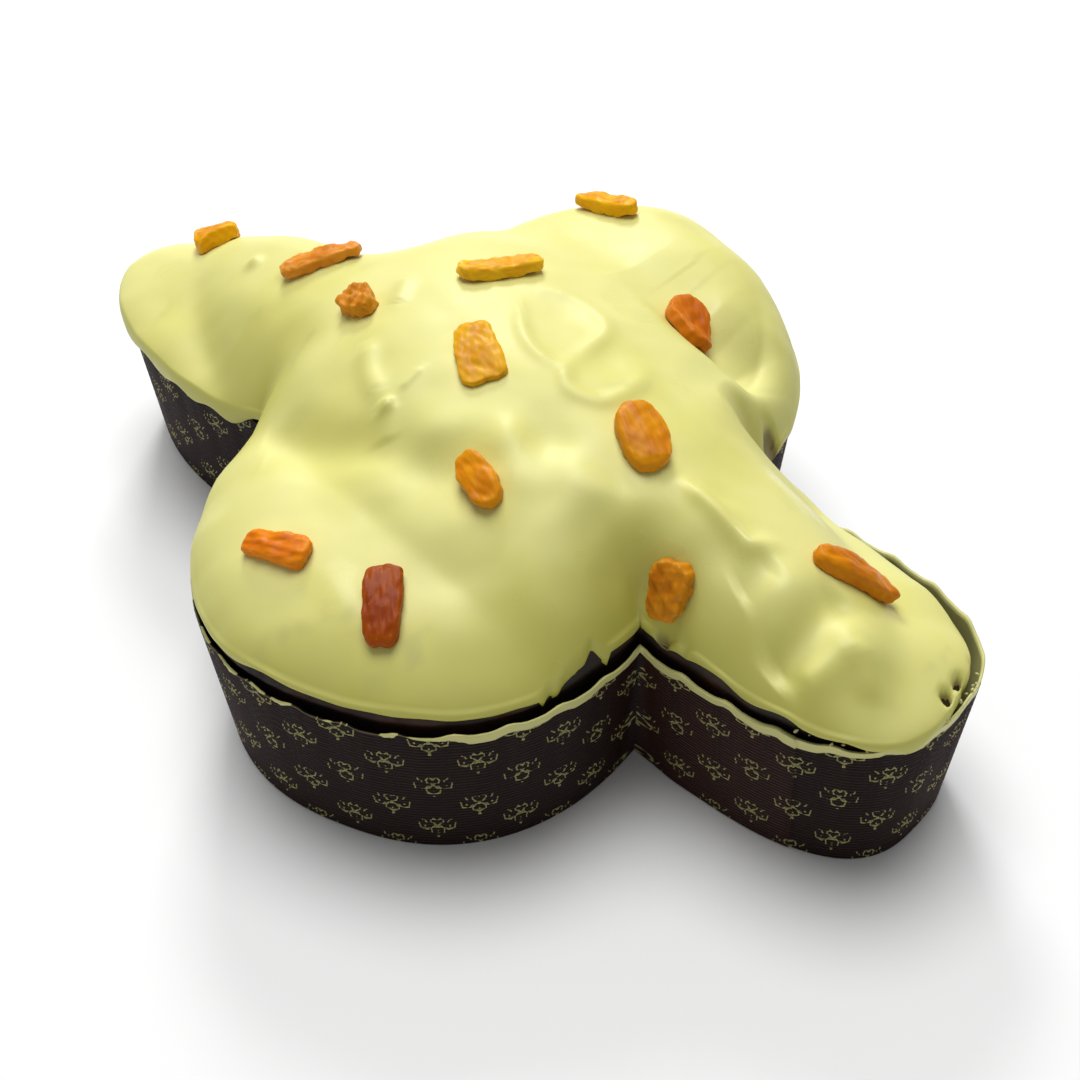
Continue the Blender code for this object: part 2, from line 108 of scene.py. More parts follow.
# A hill of the risen top: centre, half length, half width, turn in degrees, height
HILLS = (
    (-0.0012, -0.0063, 0.1347, 0.0554, -11.7, 0.0431),
    (0.0, -0.0550, 0.0850, 0.0750, 0.0, 0.0254),
    (-0.0007, 0.0650, 0.0800, 0.1177, 0.0, 0.0378),
    (-0.1125, 0.0077, 0.0600, 0.0450, 0.0, 0.0128),
    (0.1044, -0.0057, 0.0500, 0.0450, 0.0, 0.0120),
)
HILL_BLEND = 3.0
HILL_FOOT = 0.10
DOME_RIM = 0.0490
DOME_SHOULDER = 0.0247
FLOOR_BLEND = 0.0055
EDGE_MARGIN = 0.0010
CRUST_DROP = 0.0018
CRUST_BLEND = 0.0012
CRUST_BOTTOM = 0.0014
CRUST_SIDE_GAP = 0.0014
CRUST_SIDE_ROWS = (0.002, 0.010, 0.036, 0.044, 0.048)
CRUST_NEAREST = -0.0012
CRUST_GRAIN = 0.00016
STEEPEST = 2.0
SLOPE_STEP = 0.0002

# Lumps of the baked top: place, radii, height
LUMPS = (
    (0.0504, 0.0333, 0.0082, 0.0155, 0.0098),
    (-0.1285, 0.0124, 0.0188, 0.0188, 0.0016),
    (-0.0010, -0.0380, 0.0100, 0.0080, 0.0012),
    (0.0200, -0.0330, 0.0090, 0.0080, 0.0012),
    (0.0480, -0.0300, 0.0100, 0.0080, 0.0012),
)
LUMP_FADE = 0.012

# How far the iced edge stands out past the rim of the case, by direction in degrees
ICED_EDGE = (
    (0, -0.0030), (5, -0.0045), (10, -0.0062), (15, -0.0062), (20, -0.0035), (24, -0.0008),
    (28, 0.0008), (32, 0.0010), (40, 0.0018), (55, 0.0006), (62, 0.0), (75, 0.0), (85, 0.0010),
    (100, 0.0026), (140, 0.0024), (160, 0.0008), (170, 0.0012), (190, 0.0014), (202, 0.0014),
    (207, 0.0), (212, -0.0012), (250, -0.0012), (262, -0.0012), (270, -0.0022), (280, -0.0030),
    (320, -0.0032), (331, -0.0020), (337, -0.0020), (340, -0.0006), (342, 0.0004), (350, 0.0004),
    (354, -0.0006), (357, -0.0016), (360, -0.0030),
)

# The lowest height of the top near its edge, by direction
TOP_FLOOR = (
    (0, 0.0500), (5, 0.0490), (20, 0.0490), (28, 0.0529), (345, 0.0529), (352, 0.0510), (360, 0.0500),
)
EDGE_TUCK = 0.0040
INNER_TUCK = 0.0014
TUCK_REACH = 0.0085

# The height where the icing ends over bare crust, by direction; it covers the edge where this is 0
ICING_FOOT = (
    (0, 0.0), (306, 0.0), (307, 0.0530), (310, 0.0550), (314, 0.0590), (317, 0.0625), (321, 0.0625),
    (324, 0.0590), (328, 0.0545), (330.5, 0.0540), (331.5, 0.0565), (333.0, 0.0560), (333.5, 0.0),
    (334.8, 0.0), (335.3, 0.0545), (337, 0.0550), (339, 0.0535), (340.2, 0.0), (360, 0.0),
)

# How far the icing hangs down over its edge, by direction
ICING_HANG = (
    (0, 0.0030), (14, 0.0010), (30, 0.0014), (40, 0.0030), (150, 0.0030), (165, 0.0030),
    (200, 0.0050), (206, 0.0040), (230, 0.0036), (262, 0.0026), (270, 0.0010), (330, 0.0030),
    (345, 0.0010), (350, 0.0042), (360, 0.0030),
)

# The valley behind the body's ridge: place in millimetres and depth
VALLEY = (
    (-4.0, 46.0, 0.0), (6.0, 44.5, 2.0), (14.0, 44.0, 3.5), (23.0, 44.0, 5.5), (30.0, 44.0, 8.5),
    (38.0, 44.0, 10.0), (45.0, 43.0, 8.0), (51.0, 41.5, 3.0), (55.0, 40.0, 0.0),
)
VALLEY_NEAR = 6.5
VALLEY_FAR = 25.0

# Ridges of the icing: points along each, radius and height, all in millimetres
RIDGES = (
    (((-11.5, 10.9), (-1.4, -0.2), (7.1, -5.4), (17.4, -6.6)), 2.3, 1.0),
    (((17.4, -6.6), (16.0, 5.6), (13.9, 16.7), (3.0, 21.3), (-5.8, 20.6), (-11.3, 17.5)), 2.6, 0.8),
    (((14.5, 1.6), (18.5, -7.3), (23.2, -10.4), (31.0, -8.0), (33.7, 1.3), (30.8, 13.0)), 2.5, 1.0),
    (((-16.2, -32.6), (-15.1, -24.9)), 1.4, 0.7),
    (((-16.8, -37.6), (-11.2, -44.9)), 3.4, 0.9),
    (((58.5, -13.7), (66.9, -14.2), (79.3, -16.3), (83.8, -16.6), (88.8, -9.9)), 2.6, 1.9),
    (((44.0, -12.5), (52.0, -13.5), (58.5, -13.7)), 3.0, 1.0),
    (((116.7, -18.2), (114.3, -28.5), (110.7, -35.1)), 3.6, 1.4),
    (((116.7, -18.2), (121.5, -21.5), (125.8, -25.6)), 3.6, 1.4),
    (((-37.4, -22.1), (-29.4, -30.7), (-19.7, -36.7)), 3.0, 1.4),
    (((-44.7, 3.0), (-39.2, -8.2)), 2.6, 1.1),
    (((90.7, -15.8), (88.9, -22.2), (86.7, -27.2)), 4.5, -1.6),
    (((106.4, -8.4), (106.4, -13.4), (105.9, -25.1), (104.5, -31.8), (103.7, -35.7)), 5.0, -2.8),
    (
        ((-48.9, -55.3), (-43.2, -51.8), (-27.1, -50.1), (-11.0, -46.5), (8.0, -44.0), (25.0, -35.0)),
        7.5, -2.6,
    ),
)

# Waves of the icing's top in millimetres
ICING_WAVE = 0.35
ICING_RIPPLE = 0.05

# Soft dents and swellings of the icing: place, radii and height in millimetres
DENTS = (
    (1.7, 12.4, 8.5, 8.0, -1.5), (23.0, 4.3, 7.0, 7.5, -1.5), (-8.5, -29.8, 4.5, 4.5, -0.4),
    (-16.8, -37.6, 1.9, 1.9, 1.7), (-100.6, -3.7, 2.0, 2.4, 2.0), (11.4, -36.7, 6.0, 6.0, -0.6),
    (27.5, -25.0, 9.0, 6.5, -2.2), (46.0, -24.8, 8.0, 6.0, -1.6), (57.3, -37.8, 5.0, 5.0, -0.9),
    (49.2, -36.2, 4.0, 5.0, -0.8), (0.2, -39.3, 6.0, 5.0, 0.8), (18.9, -29.9, 5.0, 5.0, 0.8),
    (38.2, -30.0, 6.0, 6.0, 0.9), (29.3, -38.8, 6.0, 5.0, 0.8), (55.3, -23.9, 6.0, 5.0, 0.8),
    (47.2, -29.6, 4.0, 4.0, 0.5), (78.5, -12.3, 5.0, 3.5, -0.8), (69.9, -9.4, 5.0, 3.5, -0.8),
    (116.7, -18.4, 7.5, 6.5, 2.2), (70.4, -31.0, 8.0, 7.0, -0.7), (80.0, -21.0, 7.0, 5.0, -1.4),
    (-8.0, -60.0, 26.0, 11.0, 2.2), (16.0, -58.0, 15.0, 10.0, 1.2), (95.0, -20.0, 6.0, 8.0, 0.8),
)

# Places where the crust shows through the icing: place and radii in millimetres
BARE_SPOTS = (
    (71.8, -37.2, 2.9, 1.7), (79.3, -37.3, 1.2, 0.8), (136.5, -7.0, 1.1, 1.4),
    (136.0, 9.0, 1.2, 1.6), (136.2, -0.8, 0.7, 1.5), (53.0, 40.0, 1.6, 2.2),
)

# Edge of the bare spots in millimetres and as a share, and waves of the icing's foot
BARE_RIM = 1.4
BARE_RAGGED = 0.12
FOOT_WAVE = 0.0008
FOOT_RIPPLE = 0.0004

# Candied peel: place, direction of the long axis in degrees, length, width, thickness, squareness,
# narrowing towards one end, lift of the ends and roughness of the shape
Peel = namedtuple("Peel", "x y turn length width thickness power taper curl rough")
PEEL = (
    Peel(-0.1290, 0.0080, 44, 0.0135, 0.0115, 0.0056, 4.0, 0.15, 0.0, 0.9),
    Peel(-0.0765, 0.0010, 52, 0.0240, 0.0070, 0.0036, 3.5, -0.10, 0.0012, 1.0),
    Peel(-0.0490, -0.0116, -11, 0.0120, 0.0095, 0.0050, 2.2, 0.35, 0.0, 1.8),
    Peel(-0.0231, 0.0172, 52, 0.0240, 0.0072, 0.0042, 3.5, 0.05, 0.0010, 1.0),
    Peel(-0.0048, -0.0142, -40, 0.0220, 0.0118, 0.0024, 5.0, -0.15, 0.0, 0.8),
    Peel(-0.0275, 0.0715, 0, 0.0210, 0.0072, 0.0044, 2.8, 0.10, 0.0010, 0.8),
    Peel(0.0208, 0.0425, -33, 0.0205, 0.0120, 0.0050, 2.3, -0.10, 0.0, 0.7),
    Peel(0.0458, -0.0108, -33, 0.0205, 0.0128, 0.0046, 2.4, 0.0, 0.0, 0.5),
    Peel(0.0206, -0.0438, -28, 0.0175, 0.0090, 0.0046, 2.3, 0.0, 0.0, 0.7),
    Peel(-0.0144, -0.0828, 17, 0.0190, 0.0080, 0.0040, 4.5, -0.20, 0.0, 0.8),
    Peel(0.0192, -0.0806, -54, 0.0215, 0.0098, 0.0040, 4.0, 0.10, 0.0, 0.6),
    Peel(0.0708, -0.0310, -89, 0.0160, 0.0105, 0.0050, 3.5, 0.10, 0.0, 1.2),
    Peel(0.1040, -0.0010, 43, 0.0270, 0.0075, 0.0050, 2.6, 0.15, 0.0, 0.8),
)

# Light and dark colour of each piece of peel
PEEL_COLOURS = (
    ((0.86, 0.414, 0.002), (0.69, 0.271, 0.001)),
    ((0.79, 0.310, 0.030), (0.63, 0.203, 0.010)),
    ((0.68, 0.271, 0.011), (0.54, 0.177, 0.004)),
    ((0.90, 0.520, 0.015), (0.76, 0.330, 0.006)),
    ((0.77, 0.396, 0.010), (0.62, 0.259, 0.003)),
    ((0.86, 0.440, 0.003), (0.70, 0.280, 0.001)),
    ((0.60, 0.165, 0.003), (0.48, 0.105, 0.001)),
    ((0.69, 0.271, 0.003), (0.56, 0.177, 0.001)),
    ((0.72, 0.271, 0.002), (0.58, 0.177, 0.001)),
    ((0.80, 0.240, 0.003), (0.64, 0.150, 0.001)),
    ((0.34, 0.064, 0.001), (0.26, 0.038, 0.001)),
    ((0.60, 0.225, 0.006), (0.46, 0.140, 0.002)),
    ((0.68, 0.236, 0.002), (0.54, 0.154, 0.001)),
)
PEEL_CUTS = 25
PEEL_EDGE = 5.0
PEEL_SAG = 0.0025
PEEL_SINK = 0.0002
PEEL_UNEVEN = 0.00024
PEEL_GROOVE = 0.00005
PEEL_WAVE = 0.00022

# Crumbs on the rim, between two directions in degrees
CRUMB_START = 341.0
CRUMB_END = 4.0
CRUMB_INSET = 0.0012
CRUMB_SHARE = 0.45
CRUMB_STRAY = 0.0005
CRUMB_LIFT = 0.0008
CRUMB_SMALLEST = (0.5, 0.4, 0.25)
CRUMB_LARGEST = (1.6, 1.1, 0.6)

# Colours that the panel doesn't show
THIN_ICING = (0.450, 0.450, 0.190)
ICING_OVER_CRUST = (0.180, 0.130, 0.040)
WIPED_ICING = (0.600, 0.580, 0.230)
CRUMB_COLOUR = (0.600, 0.580, 0.270)
CRUST_DARK = (0.012, 0.0035, 0.0022)
CRUST_BROWN = (0.055, 0.016, 0.006)
# Painted shade: the near-black colour of the furrows between the corrugations of the paper.
PAPER_FURROW_SHADE = (0.0015, 0.0006, 0.0005)
SUGAR = (0.850, 0.550, 0.150)
FLOOR_COLOUR = (0.86, 0.86, 0.86)

# Right half of the printed blossom: lines and dots in millimetres from its middle
BLOSSOM_LINES = (
    (0.2, 0.6, 1.5, 1.5), (1.5, 1.5, 1.9, 2.7), (1.9, 2.7, 1.0, 3.5), (1.0, 3.5, 0.0, 2.9),
    (0.4, -0.4, 1.9, -1.4), (1.9, -1.4, 1.7, -3.2), (1.7, -3.2, 0.0, -3.7),
    (0.8, -0.1, 2.9, -1.6), (2.9, -1.6, 4.7, -1.2), (4.7, -1.2, 5.1, 1.2), (2.9, 1.9, 4.0, 3.2),
)
BLOSSOM_DOTS = ((0.0, -2.5, 0.25), (0.0, -5.0, 0.45), (0.0, 0.0, 0.55), (3.5, -0.1, 0.3))
BLOSSOM_STEP = (0.0240, 0.0192)
PRINT_OUTER = 0.24
PRINT_INNER = 0.12
DOT_MARGIN = 0.2

# Camera, taken from the outline of the case in the photo
CAMERA_PLACE = (0.2551905, -0.3049588, 0.4116249)
CAMERA_RIGHT = (0.7808, 0.6248, -0.0167)
CAMERA_UP = (-0.4287, 0.5554, 0.7126)
CAMERA_LENS = 63.79

# Stage: the directions of the lights, their strength and size, and the floor
SUN_TOWARDS = (-0.20, 0.16, 0.96)
SUN_STRENGTH = 2.3
SUN_SPREAD = 40.0
PANEL_TOWARDS = (-0.53, 0.56, 0.66)
PANEL_DISTANCE = 1.3
PANEL_SIZE = 0.30
PANEL_POWER = 7.0
SKY_STRENGTH = 0.26
FLOOR_SIZE = 6.0
FLOOR_DROP = 0.0002


def lobe_level(lobe, points):
    """1 on the edge of a lobe, and less inside it."""
    x, y, half_width, half_length, power, turn = lobe
    turn = math.radians(turn)
    dx = points[..., 0] - x
    dy = points[..., 1] - y
    along = (dx * math.cos(turn) + dy * math.sin(turn)) / half_length
    across = (dy * math.cos(turn) - dx * math.sin(turn)) / half_width
    return (np.abs(along) ** power + np.abs(across) ** power) ** (1.0 / power)


def dove_level(points):
    return np.min([lobe_level(lobe, points) for lobe in LOBES], axis=0)


def on_rays(angles, distances):
    return np.stack([np.cos(angles) * distances, np.sin(angles) * distances], axis=-1)


def reach(angles):
    """How far the outline lies from the middle in each direction."""
    steps = np.linspace(0.02, 0.24, 111)
    level = dove_level(on_rays(angles[:, None], steps[None, :]))
    last_inside = level.shape[1] - 1 - np.argmax(level[:, ::-1] < 1.0, axis=1)
    low = steps[last_inside]
    high = steps[last_inside + 1]
    for _ in range(30):
        middle = (low + high) / 2
        inside = dove_level(on_rays(angles, middle)) < 1.0
        low = np.where(inside, middle, low)
        high = np.where(inside, high, middle)
    return low


def corner_angle(first, second):
    """The direction where the outline passes from one lobe to the next."""
    low = math.radians(LOBE_DIRECTIONS[first])
    high = math.radians(LOBE_DIRECTIONS[second])
    if high < low:
        high += 2 * math.pi
    for _ in range(40):
        middle = (low + high) / 2
        here = on_rays(np.array([middle]), reach(np.array([middle])))
        nearer = lobe_level(LOBES[first], here)[0] < lobe_level(LOBES[second], here)[0]
        low, high = (middle, high) if nearer else (low, middle)
    return (low + high) / 2


def outline(total):
    """The dove's outline at the rim, with its four corners kept and even steps between them."""
    corners = [corner_angle(i, (i + 1) % 4) for i in range(4)]
    stretches = []
    for i in range(4):
        start = corners[i - 1]
        while start > corners[i]:
            start -= 2 * math.pi
        angles = np.linspace(start, corners[i], 900)
        points = on_rays(angles, reach(angles))
        steps = np.linalg.norm(np.diff(points, axis=0), axis=1)
        stretches.append((angles, np.concatenate([[0.0], np.cumsum(steps)])))
    whole = sum(travelled[-1] for _, travelled in stretches)
    parts = []
    for angles, travelled in stretches:
        count = round(travelled[-1] / whole * total)
        wanted = np.interp(np.arange(count) / count * travelled[-1], travelled, angles)
        parts.append(on_rays(wanted, reach(wanted)))
    return np.concatenate(parts)


def grown(line, amount):
    """A closed line moved outwards, by one amount or by one for each of its points."""
    along = np.roll(line, -1, axis=0) - line
    along = along / np.linalg.norm(along, axis=1, keepdims=True)
    after = np.column_stack([along[:, 1], -along[:, 0]])
    before = np.roll(after, 1, axis=0)
    mitre = (before + after) / (1.0 + np.sum(before * after, axis=1, keepdims=True))
    return line + mitre * np.reshape(np.broadcast_to(amount, len(line)), (-1, 1))


def spread(line, count):
    """A closed line again, with even steps."""
    closed = np.concatenate([line, line[:1]])
    steps = np.linalg.norm(np.diff(closed, axis=0), axis=1)
    travelled = np.concatenate([[0.0], np.cumsum(steps)])
    wanted = np.arange(count) / count * travelled[-1]
    return np.column_stack([np.interp(wanted, travelled, closed[:, i]) for i in (0, 1)])


def edge_line(stand, count):
    """The outline moved by amounts from a table by direction, without the loops at inner corners."""
    line = outline(OUTLINE_POINTS)
    amount = by_direction(stand, directions(line)) if isinstance(stand, tuple) else stand(line)
    tree = KDTree(len(line))
    for index, point in enumerate(line):
        tree.insert((*point, 0.0), index)
    tree.balance()
    moved = grown(line, amount)
    away = np.array([tree.find((x, y, 0.0))[2] for x, y in moved])
    return spread(moved[away > np.abs(amount) * 0.97 - 0.00002], count)


def directions(points):
    return np.degrees(np.arctan2(points[..., 1], points[..., 0])) % 360.0


def by_direction(table, angles):
    keys = [row[0] for row in table]
    return np.interp(angles, keys, [row[1] for row in table])


def at_height(plan, height):
    return np.column_stack([plan, np.broadcast_to(height, len(plan))])


def wobble(points, size, seed):
    """Smooth uneven values between about -1 and 1, that vary over a given size."""
    chance = np.random.default_rng(seed)
    total = np.zeros(points.shape[:-1])
    for _ in range(7):
        axis = chance.normal(size=points.shape[-1])
        axis = axis / np.linalg.norm(axis) * 2 * math.pi / size * chance.uniform(0.6, 1.6)
        total += np.sin(points @ axis + chance.uniform(0, 2 * math.pi))
    return total / 2.6


class Dome:
    """The shape of the risen top: its crust and the icing over it."""

    def __init__(self):
        stand = tuple((angle, amount + EDGE_MARGIN) for angle, amount in ICED_EDGE)
        self.edge = edge_line(stand, OUTLINE_POINTS)
        self.tree = KDTree(len(self.edge))
        for index, point in enumerate(self.edge):
            self.tree.insert((*point, 0.0), index)
        self.tree.balance()

    def inset(self, points):
        """How far inside the outermost line each point lies."""
        found = [self.tree.find((x, y, 0.0))[2] for x, y in points.reshape(-1, 2)]
        return np.array(found).reshape(points.shape[:-1])

    def height(self, points):
        """Height of the iced top, before the relief of the icing."""
        inset = self.inset(points)
        rounding = np.sqrt(1.0 - (1.0 - np.clip(inset / DOME_SHOULDER, 0.0, 1.0)) ** 2)
        hills = 0.0
        for x, y, half_length, half_width, turn, height in HILLS:
            turn = math.radians(turn)
            dx = points[..., 0] - x
            dy = points[..., 1] - y
            along = (dx * math.cos(turn) + dy * math.sin(turn)) / half_length
            across = (dy * math.cos(turn) - dx * math.sin(turn)) / half_width
            level = 1.0 - along ** 2 - across ** 2
            rise = height * np.sqrt((level + np.sqrt(level ** 2 + HILL_FOOT ** 2)) / 2)
            hills = hills + rise ** HILL_BLEND
        relief = swellings(LUMPS, points) + valley_relief(points * 1000.0)
        risen = DOME_RIM + rounding * hills ** (1.0 / HILL_BLEND)
        risen = risen + relief * np.clip(inset / LUMP_FADE, 0.0, 1.0)
        return lifted(risen, self.floor(points, inset), FLOOR_BLEND)

    def floor(self, points, inset):
        """The lowest height of the top, which tucks down where it passes over the rim."""
        angles = directions(points)
        stand = by_direction(ICED_EDGE, angles)
        depth = np.interp(stand, (-0.0005, 0.0010), (INNER_TUCK, EDGE_TUCK))
        tuck = depth * (1.0 - np.clip(inset / TUCK_REACH, 0.0, 1.0)) ** 2
        return by_direction(TOP_FLOOR, angles) - tuck

    def slant(self, points, height):
        """How much longer a layer is straight up through it than across it."""
        slopes = []
        for step in (np.array((SLOPE_STEP, 0.0)), np.array((0.0, SLOPE_STEP))):
            slopes.append((self.height(points + step) - height) / SLOPE_STEP)
        return np.minimum(np.sqrt(1.0 + slopes[0] ** 2 + slopes[1] ** 2), STEEPEST)

    def crust(self, points, height, slant):
        floor = self.floor(points, self.inset(points)) - CRUST_DROP
        crust = lifted(height - (ICING_THICKNESS + GAP) * slant, floor, CRUST_BLEND)
        return crust + np.minimum(icing_relief(points), 0.0) * slant


def crust_stand(line):
    """How far the crust's edge stands out past the rim, so that it always stays inside the case."""
    return np.minimum(by_direction(ICED_EDGE, directions(line)), CRUST_NEAREST)


def lifted(height, floor, blend):
    """A height that never falls below a floor, with a soft bend where it meets it."""
    above = height - floor
    return floor + (above + np.sqrt(above ** 2 + blend ** 2)) / 2


def swellings(table, points):
    total = 0.0
    for x, y, radius_x, radius_y, height in table:
        dx = (points[..., 0] - x) / radius_x
        dy = (points[..., 1] - y) / radius_y
        total = total + height * np.exp(-(dx ** 2 + dy ** 2))
    return total


def smooth_path(corners, steps=24):
    """Points along a soft curve through the corners."""
    corners = np.array(corners)
    first = 2 * corners[:1] - corners[1:2]
    last = 2 * corners[-1:] - corners[-2:-1]
    padded = np.concatenate([first, corners, last])
    path = []
    for i in range(1, len(corners)):
        before, start, end, after = padded[i - 1:i + 3]
        for t in np.arange(steps) / steps:
            square = 2 * before - 5 * start + 4 * end - after
            cube = 3 * start - before - 3 * end + after
            path.append(start + 0.5 * t * (end - before + (square * t + cube * t ** 2)))
    path.append(padded[-2])
    return np.array(path)


def ridge_relief(points):
    """The ridges and furrows that the spatula left, for points in millimetres."""
    total = np.zeros(points.shape[:-1])
    for corners, radius, height in RIDGES:
        path = smooth_path(corners)
        away = np.linalg.norm(points[..., None, :] - path, axis=-1)
        ends = np.minimum(np.arange(len(path)), np.arange(len(path))[::-1])
        strength = np.clip((ends + 2) / (0.25 * len(path)), 0.0, 1.0)
        near = np.argmin(away, axis=-1)
        nearest = np.min(away, axis=-1)
        total += height * strength[near] * np.exp(-(nearest / radius) ** 2)
    return total


def valley_relief(points):
    """The valley behind the body's ridge, steep towards the ridge, for points in millimetres."""
    total = np.zeros(points.shape[:-1])
    nearest = np.full(points.shape[:-1], np.inf)
    table = np.array(VALLEY)
    for start, end in zip(table, table[1:]):
        run = end[:2] - start[:2]
        offset = points - start[:2]
        along = np.clip(offset @ run / (run @ run), 0.0, 1.0)
        rest = offset - along[..., None] * run
        away = np.linalg.norm(rest, axis=-1)
        beyond = run[0] * offset[..., 1] - run[1] * offset[..., 0] > 0
        width = np.where(beyond, VALLEY_FAR, VALLEY_NEAR)
        depth = start[2] + (end[2] - start[2]) * along
        total = np.where(away < nearest, depth * np.exp(-(away / width) ** 2), total)
        nearest = np.minimum(nearest, away)
    return -total / 1000.0


def icing_relief(points):
    """How far the icing stands off its smooth shape."""
    fine = points * 1000.0
    relief = ridge_relief(fine) + swellings(DENTS, fine)
    relief = relief + ICING_WAVE * wobble(fine, 30.0, 3) + ICING_RIPPLE * wobble(fine, 13.0, 5)
    return relief / 1000.0


def bare_cover(points):
    """Share of its full thickness that the icing has, falling to 0 round the bare spots."""
    fine = points * 1000.0
    inside = np.full(points.shape[:-1], 9.0)
    ragged = 1.0 + BARE_RAGGED * wobble(fine, 3.0, 17)
    for x, y, radius_x, radius_y in BARE_SPOTS:
        level = np.hypot((fine[..., 0] - x) / radius_x, (fine[..., 1] - y) / radius_y)
        inside = np.minimum(inside, (level - ragged) * min(radius_x, radius_y))
    share = np.clip(inside / BARE_RIM, 0.0, 1.0)
    return np.sqrt(1.0 - (1.0 - share) ** 2)


def icing_end(dome, edge):
    """How far out the icing reaches along each line from the middle to the edge."""
    foot = by_direction(ICING_FOOT, directions(edge))
    fine = edge * 1000.0
    foot = foot + FOOT_WAVE * wobble(fine, 9.0, 11) + FOOT_RIPPLE * wobble(fine, 3.5, 12)
    shares = np.linspace(0.70, 1.0, 61)
    end = np.full(len(edge), shares[0])
    before = dome.height(edge * shares[0])
    for low, high in zip(shares, shares[1:]):
        after = dome.height(edge * high)
        part = np.clip((before - foot) / np.maximum(before - after, 1e-6), 0.0, 1.0)
        end = np.where(before > foot, np.where(after > foot, high, low + (high - low) * part), end)
        before = after
    return end


def row_shares():
    """Rows of the top from its middle to its edge, closest at the middle's relief and at the edge."""
    places = (0.0, 0.5, 0.93, 1.0)
    density = (1.4, 1.4, 0.75, 2.0)
    fine = np.linspace(0.0, 1.0, 2001)
    summed = np.cumsum(np.interp(fine, places, density))
    passed = (summed - summed[0]) / (summed[-1] - summed[0])
    return np.interp(np.linspace(0.004, 1.0, TOP_ROWS), passed, fine)


def add_layers(item, **layers):
    """Attributes on an object's points, by name."""
    for name, values in layers.items():
        kind = "FLOAT_VECTOR" if np.ndim(values) == 2 else "FLOAT"
        layer = item.data.attributes.new(name, kind, "POINT")
        key = "vector" if np.ndim(values) == 2 else "value"
        layer.data.foreach_set(key, np.asarray(values, dtype=np.float32).ravel())


def closed_rings(mesh, rings):
    """Quads between rings of the same length, each ring closed on itself."""
    stack = [[mesh.verts.new(point) for point in ring] for ring in rings]
    for lower, upper in zip(stack, stack[1:]):
        count = len(lower)
        for i in range(count):
            j = (i + 1) % count
            mesh.faces.new((lower[i], lower[j], upper[j], upper[i]))
    return stack


def close_with_fan(mesh, ring, middle, facing_down=False):
    point = mesh.verts.new(middle)
    for i, vertex in enumerate(ring):
        corners = (vertex, ring[(i + 1) % len(ring)], point)
        mesh.faces.new(corners[::-1] if facing_down else corners)


def new_object(name, mesh, material):
    """A mesh object in the collection, moved to the row's frame."""
    data = bpy.data.meshes.new(name)
    bmesh.ops.translate(mesh, verts=mesh.verts, vec=(CENTRE[0], CENTRE[1], 0.0))
    mesh.to_mesh(data)
    mesh.free()
    data.materials.append(material)
    data.shade_smooth()
    item = bpy.data.objects.new(name, data)
    bpy.context.scene.collection.objects.link(item)
    return item


class Value:
    """A socket in a node tree, with arithmetic that adds nodes."""

    def __init__(self, shader, socket):
        self.shader = shader
        self.socket = socket

    def math(self, operation, *others, clamp=False):
        return self.shader.math(operation, self, *others, clamp=clamp)

    def __add__(self, other):
        return self.math("ADD", other)

    __radd__ = __add__

    def __sub__(self, other):
        return self.math("SUBTRACT", other)

    def __rsub__(self, other):
        return self.shader.math("SUBTRACT", other, self)

    def __mul__(self, other):
        return self.math("MULTIPLY", other)

    __rmul__ = __mul__

    def __truediv__(self, other):
        return self.math("DIVIDE", other)

    def step(self, low, high):
        """0 below low and 1 above high, or the other way round if low is the larger."""
        options = {"interpolation_type": "SMOOTHSTEP"}
        inputs = {"Value": self, "From Min": low, "From Max": high}
        return self.shader.node("ShaderNodeMapRange", options, inputs)


class Shader:
    """A material's node tree, written as expressions."""

    def __init__(self, name, roughness=0.5, **constants):
        self.material = bpy.data.materials.new(name)
        self.material.use_nodes = True
        self.tree = self.material.node_tree
        self.principled = self.tree.nodes["Principled BSDF"]
        self.principled.inputs["Roughness"].default_value = roughness
        for key, value in constants.items():
            self.principled.inputs[key.replace("_", " ")].default_value = value

    def put(self, socket, value):
        if isinstance(value, Value):
            self.tree.links.new(value.socket, socket)
        elif isinstance(value, tuple) and len(value) == 3 and socket.type == "RGBA":
            socket.default_value = (*value, 1.0)
        else:
            socket.default_value = value

    def node(self, kind, options=None, inputs=None, output=0):
        """Any node: its options are set, then its inputs, and one output comes back."""
        made = self.tree.nodes.new(kind)
        for key, value in (options or {}).items():
            setattr(made, key, value)
        for key, value in (inputs or {}).items():
            self.put(made.inputs[key], value)
        return Value(self, made.outputs[output])

    def math(self, operation, *values, clamp=False):
        inputs = dict(enumerate(values))
        return self.node("ShaderNodeMath", {"operation": operation, "use_clamp": clamp}, inputs)

    def vector(self, operation, *values, output=0):
        inputs = dict(enumerate(values))
        return self.node("ShaderNodeVectorMath", {"operation": operation}, inputs, output)

    def object_point(self):
        return self.node("ShaderNodeTexCoord", output="Object")

    def layer(self, name, output="Fac"):
        """A layer that the mesh carries, by name."""
        return self.node("ShaderNodeAttribute", {"attribute_name": name}, output=output)

    def noise(self, point, scale, detail=2.0, stretch=(1.0, 1.0, 1.0)):
        place = self.vector("MULTIPLY", point, stretch)
        inputs = {"Vector": place, "Scale": scale, "Detail": detail}
        return self.node("ShaderNodeTexNoise", None, inputs, "Fac")

    def mix(self, share, first, second):
        options = {"data_type": "RGBA"}
        inputs = {0: share, 6: first, 7: second}
        return self.node("ShaderNodeMix", options, inputs, 2)

    def bump(self, height, distance, strength=1.0):
        inputs = {"Strength": strength, "Distance": distance, "Height": height}
        return self.node("ShaderNodeBump", None, inputs)

    def finish(self, colour=None, roughness=None, normal=None):
        outputs = {"Base Color": colour, "Roughness": roughness, "Normal": normal}
        for key, value in outputs.items():
            if value is not None:
                self.put(self.principled.inputs[key], value)
        return self.material


